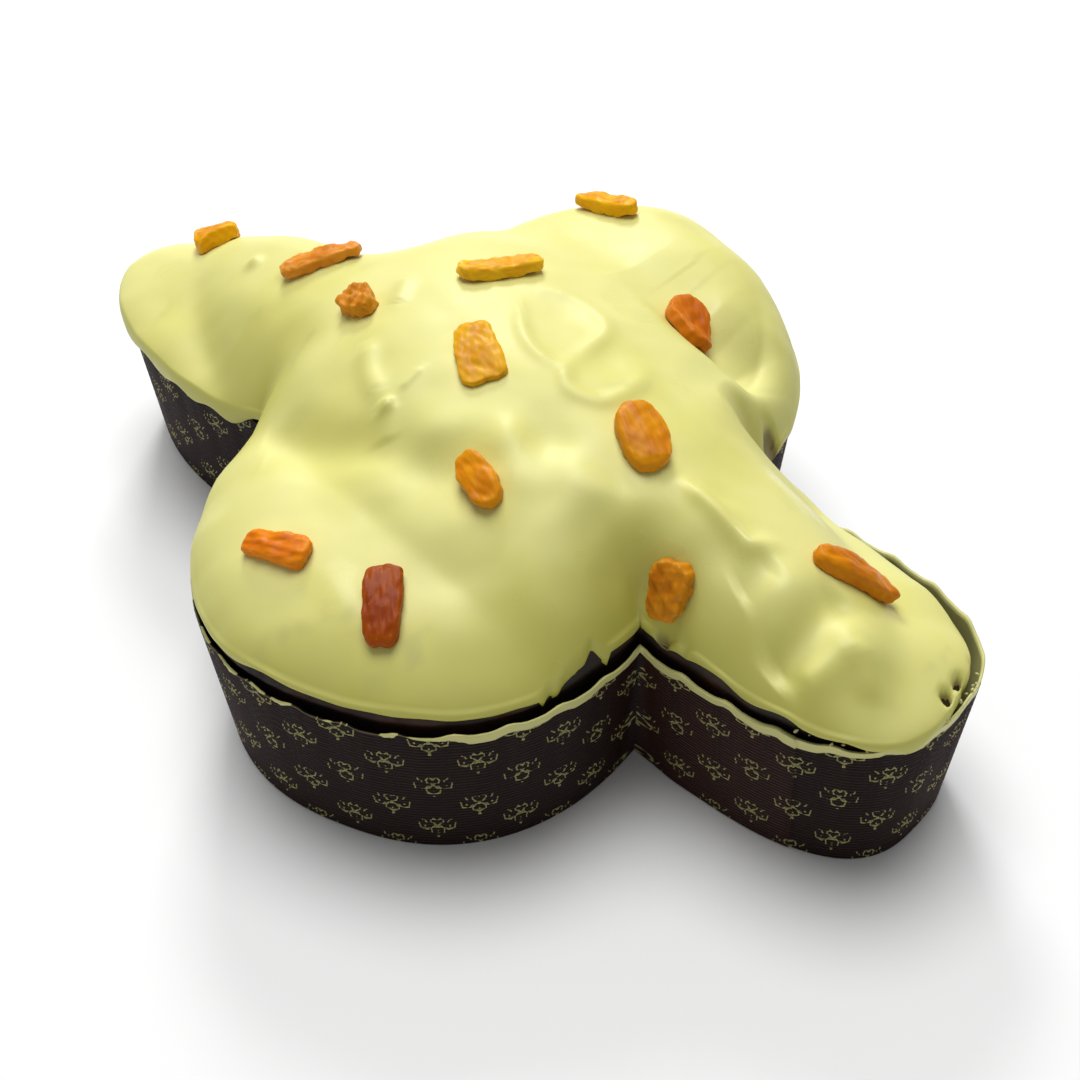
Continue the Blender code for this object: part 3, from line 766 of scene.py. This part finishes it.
def icing_material():
    """Pale yellow icing with a satin gloss, greenish where it is thin over the crust, and with painted
    shade that makes its steep sides darker and greener.
    """
    shader = Shader("icing", Subsurface_Weight=0.15, Subsurface_Scale=0.0020, Specular_IOR_Level=0.38)
    shader.principled.inputs["Subsurface Radius"].default_value = (1.0, 0.9, 0.35)
    point = shader.object_point()
    cloud = shader.noise(point, 28.0, 3.0)
    chosen = settings()
    colour = shader.mix(cloud.step(0.35, 0.70), tuple(chosen.icing_light), tuple(chosen.icing_dark))
    # Painted shade: steep parts of the icing, found from the mesh's normals, are mixed towards a darker,
    # greener colour.
    slope_shade = shader.layer("steep").step(0.03, 0.70)
    colour = shader.mix(slope_shade * 0.85, colour, tuple(chosen.icing_slope_shade))
    thin = shader.noise(point, 55.0, 2.0).step(0.60, 0.74) * shader.noise(point, 14.0).step(0.48, 0.62)
    colour = shader.mix(thin * 0.45, colour, THIN_ICING)
    bare = shader.layer("cover").step(0.85, 0.25)
    colour = shader.mix(bare * 0.85, colour, ICING_OVER_CRUST)
    wet = shader.noise(point, 42.0, 2.0).step(0.60, 0.68)
    roughness = shader.noise(point, 120.0, 2.0) * 0.12 + 0.40 - wet * 0.20
    return shader.finish(colour, roughness, shader.bump(shader.noise(point, 260.0, 3.0), 0.00006, 0.6))


def crust_material():
    shader = Shader("crust")
    point = shader.object_point()
    grain = shader.noise(point, 380.0, 5.0)
    patch = shader.noise(point, 70.0, 3.0)
    colour = shader.mix(patch.step(0.42, 0.72), CRUST_DARK, CRUST_BROWN)
    return shader.finish(colour, grain * 0.3 + 0.5, shader.bump(grain, 0.0004, 0.8))


def blossom_mask(shader, along, up, ridge):
    """1 on the lines of the printed blossoms: a half-drop pattern of one motif."""
    step_x, step_y = BLOSSOM_STEP
    nearest = None
    for shift in (0.0, 0.5):
        x = (along / step_x + shift).math("FRACT") - 0.5
        y = (up / step_y + shift).math("FRACT") - 0.5
        x = x.math("ABSOLUTE") * (step_x * 1000.0)
        y = y * (step_y * 1000.0)
        point = shader.node("ShaderNodeCombineXYZ", None, {"X": x, "Y": y})
        for x1, y1, x2, y2 in BLOSSOM_LINES:
            run = (x2 - x1, y2 - y1, 0.0)
            offset = shader.vector("SUBTRACT", point, (x1, y1, 0.0))
            reached = shader.vector("DOT_PRODUCT", offset, run, output="Value")
            share = reached.math("DIVIDE", run[0] ** 2 + run[1] ** 2, clamp=True)
            inputs = {0: run, "Scale": share}
            foot = shader.node("ShaderNodeVectorMath", {"operation": "SCALE"}, inputs)
            rest = shader.vector("SUBTRACT", offset, foot)
            away = shader.vector("LENGTH", rest, output="Value")
            nearest = away if nearest is None else nearest.math("MINIMUM", away)
        for x1, y1, radius in BLOSSOM_DOTS:
            away = shader.vector("DISTANCE", point, (x1, y1, 0.0), output="Value")
            nearest = nearest.math("MINIMUM", away - radius + DOT_MARGIN)
    return nearest.step(PRINT_OUTER, PRINT_INNER) * (ridge * 0.45 + 0.55)


def case_material():
    """Dark brown corrugated paper with a printed blossom, painted highlights on the crests of its
    corrugations and painted shade in their furrows, and icing wiped over part of the rim.
    """
    shader = Shader("case_paper", Specular_IOR_Level=0.16)
    place = shader.node("ShaderNodeUVMap", {"uv_map": "wall"})
    parts = shader.tree.nodes.new("ShaderNodeSeparateXYZ")
    shader.put(parts.inputs[0], place)
    along = Value(shader, parts.outputs["X"])
    up = Value(shader, parts.outputs["Y"])
    ridge = shader.layer("ridge")
    smear = shader.layer("smear")
    point = shader.object_point()
    wear = shader.noise(point, 900.0, 3.0)
    flap = shader.layer("flap")
    chosen = settings()
    # Painted light: the crests of the corrugations get a lighter colour as painted highlights, and the
    # furrows a near-black one as painted shade.
    crest = shader.mix(flap, tuple(chosen.paper_crest_lit), tuple(chosen.flap_crest_lit))
    paper_lit_and_shaded = shader.mix(ridge.step(0.25, 1.0), PAPER_FURROW_SHADE, crest)
    print_share = blossom_mask(shader, along, up, ridge) * wear.step(0.26, 0.38)
    colour = shader.mix(print_share, paper_lit_and_shaded, tuple(chosen.paper_print))
    colour = shader.mix(smear.step(0.45, 0.55), colour, WIPED_ICING)
    return shader.finish(colour, smear.step(0.6, 0.4) * 0.2 + 0.35)


def peel_material(index, light, dark):
    """Candied peel: translucent and glossy, with streaks along it and sugar in its pits."""
    name = f"peel_{index:02d}"
    shader = Shader(name, Subsurface_Weight=0.10, Subsurface_Scale=0.0010, Specular_IOR_Level=0.14)
    shader.principled.inputs["Subsurface Radius"].default_value = (1.0, 0.4, 0.05)
    place = shader.layer("piece_point", "Vector")
    streak = shader.noise(place, 520.0, 3.0, (0.25, 1.0, 1.0))
    cloud = shader.noise(place, 150.0, 2.0)
    rim = shader.layer("rim")
    share = (streak * 0.7 + cloud * 0.6 - rim * 0.18).step(0.42, 0.80)
    colour = shader.mix(share, light, dark)
    speck = shader.noise(place, 900.0, 2.0).step(0.68, 0.76)
    colour = shader.mix(speck * 0.12, colour, SUGAR)
    roughness = cloud * 0.25 + 0.27
    return shader.finish(colour, roughness, shader.bump(streak + cloud, 0.0003, 0.35))


def plain_material(name, colour, roughness):
    return Shader(name, roughness).finish(colour)


def colour_property(name, description, default):
    """A colour that the panel shows, with red, green and blue from 0 to 1."""
    return bpy.props.FloatVectorProperty(
        name=name, description=description, default=default, subtype="COLOR", size=3, min=0.0, max=1.0,
    )


class ColombaSettings(bpy.types.PropertyGroup):
    """Sizes of the case and crumbs, and the colours of the icing, the paper and the print."""

    ridge_pitch: bpy.props.FloatProperty(
        name="Ridge pitch", description="From one corrugation of the paper to the next",
        default=0.00125, min=0.0005, max=0.01, unit="LENGTH",
    )
    ridge_depth: bpy.props.FloatProperty(
        name="Ridge depth", description="How deep the corrugations of the paper are",
        default=0.00045, min=0.0, max=0.002, unit="LENGTH",
    )
    scallop: bpy.props.FloatProperty(
        name="Scallop", description="Half the height of the wavy upper edge of the case",
        default=0.0008, min=0.0, max=0.004, unit="LENGTH",
    )
    crumb_size: bpy.props.FloatProperty(
        name="Crumb size", description="Mean size of the crumbs of icing on the rim",
        default=0.0011, min=0.0002, max=0.005, unit="LENGTH",
    )
    crumb_seed: bpy.props.IntProperty(
        name="Crumb seed", description="Which random set of crumbs is used", default=4,
    )
    icing_light: colour_property("Icing", "Colour of the icing where it lies flat", (0.745, 0.718, 0.268))
    icing_dark: colour_property("Icing clouds", "Colour of its darker clouds", (0.700, 0.668, 0.200))
    # Painted shade: the darker, greener colour given to the steep sides of the icing.
    icing_slope_shade: colour_property("Icing slopes", "Colour where it is steep", (0.500, 0.480, 0.075))
    # Painted highlight: the lighter colour of the paper's crests, lighter still on the flap; the furrows
    # between them are painted in shade.
    paper_crest_lit: colour_property("Paper", "Colour of the paper's crests", (0.0300, 0.0105, 0.0080))
    flap_crest_lit: colour_property("Paper flap", "Colour of the crests on the flap", (0.0640, 0.0210, 0.0145))
    paper_print: colour_property("Print", "Colour of the printed blossoms", (0.400, 0.380, 0.150))


def settings():
    return bpy.context.scene.colomba


def smear_height(angles, travelled):
    """How far down from the rim the icing was wiped over the outer face, by direction."""
    turned = (angles - SMEAR_START) % 360.0
    length = (SMEAR_END - SMEAR_START) % 360.0
    inside = np.clip(np.minimum(turned / 6.0, (length - turned) / 8.0), 0.0, 1.0)
    inside = np.where(turned <= length, inside, 0.0)
    fine = np.column_stack([travelled, travelled]) * 1000.0
    uneven = wobble(fine, 60.0, 21)
    spots = np.clip(wobble(fine, 16.0, 22) - 0.5, 0, 1)
    return inside * (SMEAR_DEPTH + SMEAR_UNEVEN * uneven) + (1.0 - inside) * SPOT_DEPTH * spots


class GeometryTree:
    """A geometry tree with named inputs, which adds nodes with their options and inputs."""

    def __init__(self, name, **kinds):
        self.tree = bpy.data.node_groups.new(name, "GeometryNodeTree")
        face = self.tree.interface
        face.new_socket("Geometry", in_out="INPUT", socket_type="NodeSocketGeometry")
        self.sockets = {}
        for key, kind in {**kinds, "paint": "Material"}.items():
            label = key.replace("_", " ").capitalize()
            kind = f"NodeSocket{kind}"
            self.sockets[key] = face.new_socket(label, in_out="INPUT", socket_type=kind)
        face.new_socket("Geometry", in_out="OUTPUT", socket_type="NodeSocketGeometry")
        self.source = self.tree.nodes.new("NodeGroupInput")

    def given(self, key):
        return self.source.outputs[self.sockets[key].name]

    def add(self, kind, options=None, inputs=None):
        made = self.tree.nodes.new(kind)
        for key, value in (options or {}).items():
            setattr(made, key, value)
        for key, value in (inputs or {}).items():
            if isinstance(value, bpy.types.NodeSocket):
                self.tree.links.new(value, made.inputs[key])
            else:
                made.inputs[key].default_value = value
        return made

    def math(self, operation, *values):
        made = self.add("ShaderNodeMath", {"operation": operation}, dict(enumerate(values)))
        return made.outputs[0]

    def finish(self, item, geometry, **values):
        """Realizes and paints the geometry, and turns the object into a plain mesh of it."""
        real = self.add("GeometryNodeRealizeInstances", {}, {0: geometry})
        painted = {"Geometry": real.outputs[0], "Material": self.given("paint")}
        paint = self.add("GeometryNodeSetMaterial", {}, painted)
        sink = self.tree.nodes.new("NodeGroupOutput")
        self.tree.links.new(paint.outputs[0], sink.inputs[0])
        modifier = item.modifiers.new(self.tree.name, "NODES")
        modifier.node_group = self.tree
        for key, value in {**values, "paint": item.data.materials[0]}.items():
            modifier[self.sockets[key].identifier] = value
        make_plain(item)


def case_ridges(wall, pitch, depth):
    """Corrugates the wall along its normals, by nodes that read the height of each point."""
    group = GeometryTree("case_ridges", ridge_pitch="Float", ridge_depth="Float")
    point = group.add("GeometryNodeInputPosition")
    parts = group.add("ShaderNodeSeparateXYZ", {}, {0: point.outputs[0]})
    mask = group.add("GeometryNodeInputNamedAttribute", {"data_type": "FLOAT"}, {0: "wall_share"})
    turns = group.math("DIVIDE", parts.outputs["Z"], group.given("ridge_pitch"))
    wave = group.math("SINE", group.math("MULTIPLY", turns, math.tau))
    half = group.math("MULTIPLY", group.given("ridge_depth"), 0.5)
    amount = group.math("MULTIPLY", group.math("MULTIPLY", wave, half), mask.outputs[0])
    normal = group.add("GeometryNodeInputNormal")
    scaled = {0: normal.outputs[0], "Scale": amount}
    offset = group.add("ShaderNodeVectorMath", {"operation": "SCALE"}, scaled)
    moved = {"Geometry": group.source.outputs[0], "Offset": offset.outputs[0]}
    bent = group.add("GeometryNodeSetPosition", {}, moved)
    crest = group.math("MULTIPLY_ADD", wave, 0.5, 0.5)
    stored = {"Geometry": bent.outputs[0], "Name": "ridge", "Value": crest}
    kept = group.add("GeometryNodeStoreNamedAttribute", {"data_type": "FLOAT"}, stored)
    group.finish(wall, kept.outputs[0], ridge_pitch=pitch, ridge_depth=depth)


def make_plain(item):
    """Turns an object with modifiers into a plain mesh of what they make."""
    shown = item.evaluated_get(bpy.context.evaluated_depsgraph_get())
    data = bpy.data.meshes.new_from_object(shown)
    item.modifiers.clear()
    item.data = data
    return item


class COLOMBA_OT_case(bpy.types.Operator):
    """Builds the corrugated paper case with its scalloped rim"""

    bl_idname = "colomba.case"
    bl_label = "Paper case"

    def execute(self, context):
        chosen = settings()
        rim = outline(CASE_COLUMNS)
        angles = directions(rim)
        last = np.argmin(np.where(angles < FLAP_END, FLAP_END - angles, 360.0))
        rim[last] = rim[last + 1] + (rim[last] - rim[last + 1]) * FLAP_EDGE_SHARE
        base = grown(rim, -CASE_FLARE)
        flap = np.where(angles <= angles[last], np.clip((angles - FLAP_START) / FLAP_FADE, 0.0, 1.0), 0.0)
        stand = (grown(rim, FLAP_STAND) - rim) * flap[:, None]
        steps = np.linalg.norm(np.roll(rim, -1, axis=0) - rim, axis=1)
        travelled = np.concatenate([[0.0], np.cumsum(steps)])
        scallops = round(travelled[-1] / SCALLOP_PITCH)
        phase = travelled[:-1] / travelled[-1] * scallops * 2 * math.pi
        top = CASE_HEIGHT + chosen.scallop * (np.cos(phase) + 0.3 * np.cos(2.0 * phase)) / 1.3
        shares = np.linspace(0.0, 1.0, CASE_ROWS + 1)
        rings = [at_height(base * share, 0.0) for share in BASE_RINGS]
        for share in shares:
            plan = base * (1.0 - share) + rim * share + stand
            rings.append(at_height(plan, top * share))
        inner = grown(rim, -PAPER_THICKNESS)
        inner_base = grown(base, -PAPER_THICKNESS)
        for share in INNER_ROWS:
            plan = inner_base * (1.0 - share) + inner * share
            rings.append(at_height(plan, top * share - INNER_DROP))
        mesh = bmesh.new()
        stack = closed_rings(mesh, rings)
        close_with_fan(mesh, stack[0], (0.0, 0.0, 0.0), facing_down=True)
        case = new_object("case", mesh, case_material())
        self.mark_wall(case, rim, travelled, top, flap)
        case_ridges(case, chosen.ridge_pitch, chosen.ridge_depth)
        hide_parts("paper_case")
        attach(case, "root")
        return {"FINISHED"}

    def mark_wall(self, case, rim, travelled, top, flap):
        """The wall's own map, its share of corrugation, its flap and where icing is wiped on it."""
        wall_rows = CASE_ROWS + 1
        columns = len(rim)
        angles = directions(rim)
        outer = len(BASE_RINGS)
        rows = np.full(outer + wall_rows + len(INNER_ROWS), 0.0)
        rows[outer:outer + wall_rows] = 1.0
        height = np.array([vertex.co.z for vertex in case.data.vertices])
        count = columns * len(rows)
        share = np.zeros(len(height))
        share[:count] = np.repeat(rows, columns)
        near_rim = np.tile(top, len(rows))
        fade = np.ones(len(height))
        fade[:count] = np.clip((near_rim - height[:count]) / RIM_PLAIN, 0.0, 1.0)
        fade = fade * np.clip(height / FOOT_PLAIN, 0.0, 1.0)
        wiped = np.tile(smear_height(angles, travelled[:-1]), len(rows))
        smear = np.zeros(len(height))
        depth = near_rim - height[:count]
        smear[:count] = np.clip(0.5 + (wiped - depth) / SMEAR_EDGE, 0.0, 1.0)
        inner = np.repeat(np.arange(len(rows)) >= outer + wall_rows, columns)
        coated = np.tile((angles > COATED_START) | (angles < COATED_END), len(rows))
        smear[:count] = np.where(inner & coated, 1.0, smear[:count])
        flaps = np.zeros(len(height))
        flaps[:count] = np.tile(flap > 0.0, len(rows))
        add_layers(case, wall_share=share * fade * (1.0 - smear), smear=smear, flap=flaps)
        wall_map = case.data.uv_layers.new(name="wall")
        around = np.concatenate([np.tile(travelled[:-1], len(rows)), [0.0]])
        for face in case.data.polygons:
            places = [around[corner] for corner in face.vertices]
            wraps = max(places) - min(places) > travelled[-1] / 2
            for loop, place in zip(face.loop_indices, places):
                x = place + travelled[-1] if wraps and place < travelled[-1] / 2 else place
                z = height[case.data.loops[loop].vertex_index]
                wall_map.data[loop].uv = (x, z)


class COLOMBA_OT_crust(bpy.types.Operator):
    """Builds the dark crust that shows under the icing"""

    bl_idname = "colomba.crust"
    bl_label = "Crust"

    def execute(self, context):
        dome = Dome()
        edge = edge_line(crust_stand, CRUST_COLUMNS)
        rings = [at_height(edge * share, CRUST_BOTTOM) for share in (0.8, 0.88)]
        for height in CRUST_SIDE_ROWS:
            inset = CRUST_SIDE_GAP + CASE_FLARE * (1.0 - height / CASE_HEIGHT)
            rings.append(at_height(grown(edge, -inset), height))
        shares = 1.0 - np.concatenate([np.linspace(0.0, 0.14, 24), np.linspace(0.17, 0.9, 12)])
        for share in shares:
            plan = edge * share
            height = dome.height(plan)
            crust = dome.crust(plan, height, dome.slant(plan, height))
            crust = crust + CRUST_GRAIN * wobble(at_height(plan, crust) * 1000.0, 2.6, 31)
            rings.append(at_height(plan, crust))
        mesh = bmesh.new()
        stack = closed_rings(mesh, rings)
        close_with_fan(mesh, stack[0], (0.0, 0.0, CRUST_BOTTOM - 0.0002), facing_down=True)
        close_with_fan(mesh, stack[-1], (0.0, 0.0, rings[-1][:, 2].mean()))
        crust = new_object("crust", mesh, crust_material())
        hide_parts("loaf")
        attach(crust, "root")
        return {"FINISHED"}


class COLOMBA_OT_icing(bpy.types.Operator):
    """Builds the icing with its ridges, its hanging edge and its bare spots"""

    bl_idname = "colomba.icing"
    bl_label = "Icing"

    def execute(self, context):
        dome = Dome()
        edge = edge_line(ICED_EDGE, TOP_COLUMNS)
        angles = directions(edge)
        end = icing_end(dome, edge)
        rings = []
        covers = []
        for share in row_shares():
            plan = edge * (end * share)[:, None]
            height = dome.height(plan)
            slant = dome.slant(plan, height)
            cover = bare_cover(plan)
            base = dome.crust(plan, height, slant) - BARE_SINK
            top = height + icing_relief(plan) * slant
            rings.append(at_height(plan, base + (top - base) * cover))
            covers.append(cover)
        rim = rings[-1]
        outer = grown(rim[:, :2], LIP)
        hang = by_direction(ICING_HANG, angles) * (1.0 + 0.25 * wobble(edge * 1000.0, 17.0, 41))
        outer_height = dome.height(outer)
        resting = dome.crust(outer, outer_height, dome.slant(outer, outer_height)) - LIP_SINK
        over_crust = end < 0.9995
        foot = np.where(over_crust, resting, rim[:, 2] - LIP_FALL - hang)
        rim_cover = covers[-1]
        for out, down in LIP_PROFILE:
            plan = grown(rim[:, :2], LIP * out * rim_cover)
            rings.append(at_height(plan, rim[:, 2] + (foot - rim[:, 2]) * down * rim_cover))
            covers.append(rim_cover)
        mesh = bmesh.new()
        stack = closed_rings(mesh, rings[::-1])
        close_with_fan(mesh, stack[-1], (0.0, 0.0, rings[0][:, 2].mean()))
        icing = new_object("icing_skin", mesh, icing_material())
        cover = np.concatenate([*covers[::-1], [1.0]])
        # Steepness from the normals, which the icing's material uses to paint shade on steep sides.
        steep = np.array([1.0 - max(0.0, vertex.normal.z) for vertex in icing.data.vertices])
        add_layers(icing, cover=cover, steep=steep)
        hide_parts("icing")
        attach(icing, "root")
        return {"FINISHED"}


def peel_form(index, piece):
    """One piece of peel lying flat: a rounded cube, made uneven and grooved along its length."""
    mesh = bmesh.new()
    bmesh.ops.create_cube(mesh, size=2.0)
    bmesh.ops.subdivide_edges(mesh, edges=mesh.edges, cuts=PEEL_CUTS, use_grid_fill=True)
    cube = np.array([vertex.co for vertex in mesh.verts])
    power = piece.power
    side = (np.abs(cube[:, 0]) ** power + np.abs(cube[:, 1]) ** power) ** (1.0 / power)
    level = (side ** PEEL_EDGE + np.abs(cube[:, 2]) ** PEEL_EDGE) ** (1.0 / PEEL_EDGE)
    local = cube / level[:, None]
    unit = local / np.linalg.norm(local, axis=1, keepdims=True)
    local[:, 1] *= 1.0 - piece.taper * local[:, 0]
    placed = local * (np.array((piece.length, piece.width, piece.thickness)) / 2)
    rim = np.clip((side / level - 0.72) / 0.2, 0.0, 1.0)
    fine = placed * 1000.0
    uneven = wobble(fine, 5.5, 50 + index) + 0.6 * wobble(fine, 2.4, 80 + index)
    placed = placed + unit * (uneven * piece.rough * PEEL_UNEVEN)[:, None]
    grooves = wobble(placed[:, :2] * (200.0, 1000.0), 1.6, 120 + index)
    waves = wobble(placed[:, :2] * 1000.0, 6.0, 140 + index)
    placed[:, 2] += PEEL_GROOVE * grooves + PEEL_WAVE * piece.rough * waves
    return mesh, placed, local, rim


def lay_on_icing(mesh, placed, local, piece, tree):
    """Puts a piece of peel at its place, and bends it to the icing below it."""
    above = Vector((piece.x + CENTRE[0], piece.y + CENTRE[1], 0.2))
    ground, up, _, _ = tree.ray_cast(above, Vector((0.0, 0.0, -1.0)))
    turn = math.radians(piece.turn)
    forward = Vector((math.cos(turn), math.sin(turn), 0.0))
    forward = (forward - up * forward.dot(up)).normalized()
    across = up.cross(forward)
    for vertex, point, shape in zip(mesh.verts, placed, local):
        spot = ground + forward * float(point[0]) + across * float(point[1])
        below, _, _, _ = tree.ray_cast(spot + up * 0.01, -up)
        rest = (below - ground).dot(up) if below else 0.0
        rest = min(PEEL_SAG, max(-PEEL_SAG, rest))
        bend = piece.curl * float(shape[0]) ** 2
        lift = rest + float(point[2]) + piece.thickness / 2 - PEEL_SINK + bend
        vertex.co = spot + up * lift - Vector((CENTRE[0], CENTRE[1], 0.0))


class COLOMBA_OT_peel(bpy.types.Operator):
    """Builds the thirteen pieces of candied peel on the icing"""

    bl_idname = "colomba.peel"
    bl_label = "Candied peel"

    def execute(self, context):
        icing = bpy.data.objects["icing_skin"].data
        corners = [vertex.co for vertex in icing.vertices]
        tree = BVHTree.FromPolygons(corners, [face.vertices for face in icing.polygons])
        for index, piece in enumerate(PEEL, start=1):
            mesh, placed, local, rim = peel_form(index, piece)
            lay_on_icing(mesh, placed, local, piece, tree)
            light, dark = PEEL_COLOURS[index - 1]
            item = new_object(f"peel_{index:02d}", mesh, peel_material(index, light, dark))
            add_layers(item, piece_point=placed + index * 0.1, rim=rim)
            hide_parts(f"fruit_{index:02d}")
            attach(item, "root")
        return {"FINISHED"}


class COLOMBA_OT_crumbs(bpy.types.Operator):
    """Scatters crumbs of icing along the rim at the narrow end"""

    bl_idname = "colomba.crumbs"
    bl_label = "Crumbs"

    def execute(self, context):
        chosen = settings()
        line = grown(outline(CASE_COLUMNS), -CRUMB_INSET)
        angles = directions(line)
        kept = line[(angles > CRUMB_START) | (angles < CRUMB_END)]
        mesh = bmesh.new()
        chance = np.random.default_rng(chosen.crumb_seed)
        for point in kept:
            if chance.uniform() < CRUMB_SHARE:
                place = point + chance.normal(size=2) * CRUMB_STRAY
                mesh.verts.new((*place, CASE_HEIGHT + CRUMB_LIFT))
        crumbs = new_object("crumbs", mesh, plain_material("crumb", CRUMB_COLOUR, 0.6))
        self.scatter(crumbs, chosen.crumb_size, chosen.crumb_seed)
        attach(crumbs, "root")
        return {"FINISHED"}

    def scatter(self, crumbs, size, seed):
        """A flake on each point, turned and sized at random."""
        group = GeometryTree("crumbs", crumb_size="Float", seed="Int")
        flake = group.add("GeometryNodeMeshIcoSphere", {}, {"Radius": 0.5, "Subdivisions": 2})
        spin = {0: (0.0, 0.0, 0.0), 1: (math.tau, math.tau, math.tau), "Seed": group.given("seed")}
        turn = group.add("FunctionNodeRandomValue", {"data_type": "FLOAT_VECTOR"}, spin)
        limits = []
        for shares in (CRUMB_SMALLEST, CRUMB_LARGEST):
            inputs = {0: shares, "Scale": group.given("crumb_size")}
            limits.append(group.add("ShaderNodeVectorMath", {"operation": "SCALE"}, inputs))
        sizes = {0: limits[0].outputs[0], 1: limits[1].outputs[0], "Seed": group.given("seed")}
        scale = group.add("FunctionNodeRandomValue", {"data_type": "FLOAT_VECTOR"}, sizes)
        placed = {
            "Points": group.source.outputs[0], "Instance": flake.outputs[0],
            "Rotation": turn.outputs[0], "Scale": scale.outputs[0],
        }
        strewn = group.add("GeometryNodeInstanceOnPoints", {}, placed)
        group.finish(crumbs, strewn.outputs[0], crumb_size=size, seed=seed)


class COLOMBA_OT_stage(bpy.types.Operator):
    """Adds the floor, the lights and the camera"""

    bl_idname = "colomba.stage"
    bl_label = "Stage"

    def execute(self, context):
        scene = context.scene
        data = bpy.data.meshes.new("floor")
        mesh = bmesh.new()
        bmesh.ops.create_grid(mesh, x_segments=1, y_segments=1, size=FLOOR_SIZE)
        mesh.to_mesh(data)
        mesh.free()
        data.materials.append(plain_material("floor", FLOOR_COLOUR, 0.9))
        floor = bpy.data.objects.new("floor", data)
        floor.location.z = -FLOOR_DROP
        scene.collection.objects.link(floor)
        world = bpy.data.worlds.new("studio")
        world.use_nodes = True
        sky = world.node_tree.nodes["Background"]
        sky.inputs["Color"].default_value = (1.0, 1.0, 1.0, 1.0)
        sky.inputs["Strength"].default_value = SKY_STRENGTH
        scene.world = world
        self.add_sun(SUN_TOWARDS, SUN_STRENGTH, SUN_SPREAD)
        self.add_panel(PANEL_TOWARDS, PANEL_DISTANCE, PANEL_SIZE, PANEL_POWER)
        scene.view_settings.view_transform = "Standard"
        camera = bpy.data.objects.new("camera", bpy.data.cameras.new("camera"))
        right = Vector(CAMERA_RIGHT).normalized()
        up = Vector(CAMERA_UP)
        back = right.cross(up).normalized()
        up = back.cross(right)
        turned = Matrix((right, up, back)).transposed().to_4x4()
        place = Vector(CAMERA_PLACE) + Vector((CENTRE[0], CENTRE[1], 0.0))
        camera.matrix_world = Matrix.Translation(place) @ turned
        camera.data.lens = CAMERA_LENS
        camera.data.sensor_width = 36.0
        camera.data.clip_start = 0.01
        scene.collection.objects.link(camera)
        scene.camera = camera
        return {"FINISHED"}

    def add_sun(self, towards, strength, spread):
        light = bpy.data.lights.new("key", "SUN")
        light.energy = strength
        light.angle = math.radians(spread)
        item = bpy.data.objects.new("key", light)
        item.rotation_euler = Vector(towards).to_track_quat("Z", "Y").to_euler()
        bpy.context.scene.collection.objects.link(item)

    def add_panel(self, towards, distance, size, power):
        light = bpy.data.lights.new("panel", "AREA")
        light.energy = power
        light.size = size
        item = bpy.data.objects.new("panel", light)
        item.location = Vector(towards).normalized() * distance
        item.rotation_euler = Vector(towards).to_track_quat("Z", "Y").to_euler()
        bpy.context.scene.collection.objects.link(item)


class COLOMBA_PT_panel(bpy.types.Panel):
    """The sizes and colours, and a button for each group of pieces"""

    bl_idname = "COLOMBA_PT_panel"
    bl_label = "Colomba"
    bl_space_type = "VIEW_3D"
    bl_region_type = "UI"
    bl_category = "Colomba"

    def draw(self, context):
        for name in ColombaSettings.__annotations__:
            self.layout.prop(context.scene.colomba, name)
        for operator in OPERATORS:
            self.layout.operator(operator.bl_idname)


OPERATORS = (
    COLOMBA_OT_case,
    COLOMBA_OT_crust,
    COLOMBA_OT_icing,
    COLOMBA_OT_peel,
    COLOMBA_OT_crumbs,
    COLOMBA_OT_stage,
)
CLASSES = (ColombaSettings, *OPERATORS, COLOMBA_PT_panel)


def register():
    for item in CLASSES:
        bpy.utils.register_class(item)
    bpy.types.Scene.colomba = bpy.props.PointerProperty(type=ColombaSettings)


def unregister():
    del bpy.types.Scene.colomba
    for item in reversed(CLASSES):
        bpy.utils.unregister_class(item)


def main():
    register()
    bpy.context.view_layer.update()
    bpy.ops.colomba.case()
    bpy.ops.colomba.crust()
    bpy.ops.colomba.icing()
    bpy.ops.colomba.peel()
    bpy.ops.colomba.crumbs()
    bpy.ops.colomba.stage()
    bpy.context.view_layer.update()


if __name__ == "__main__":
    main()
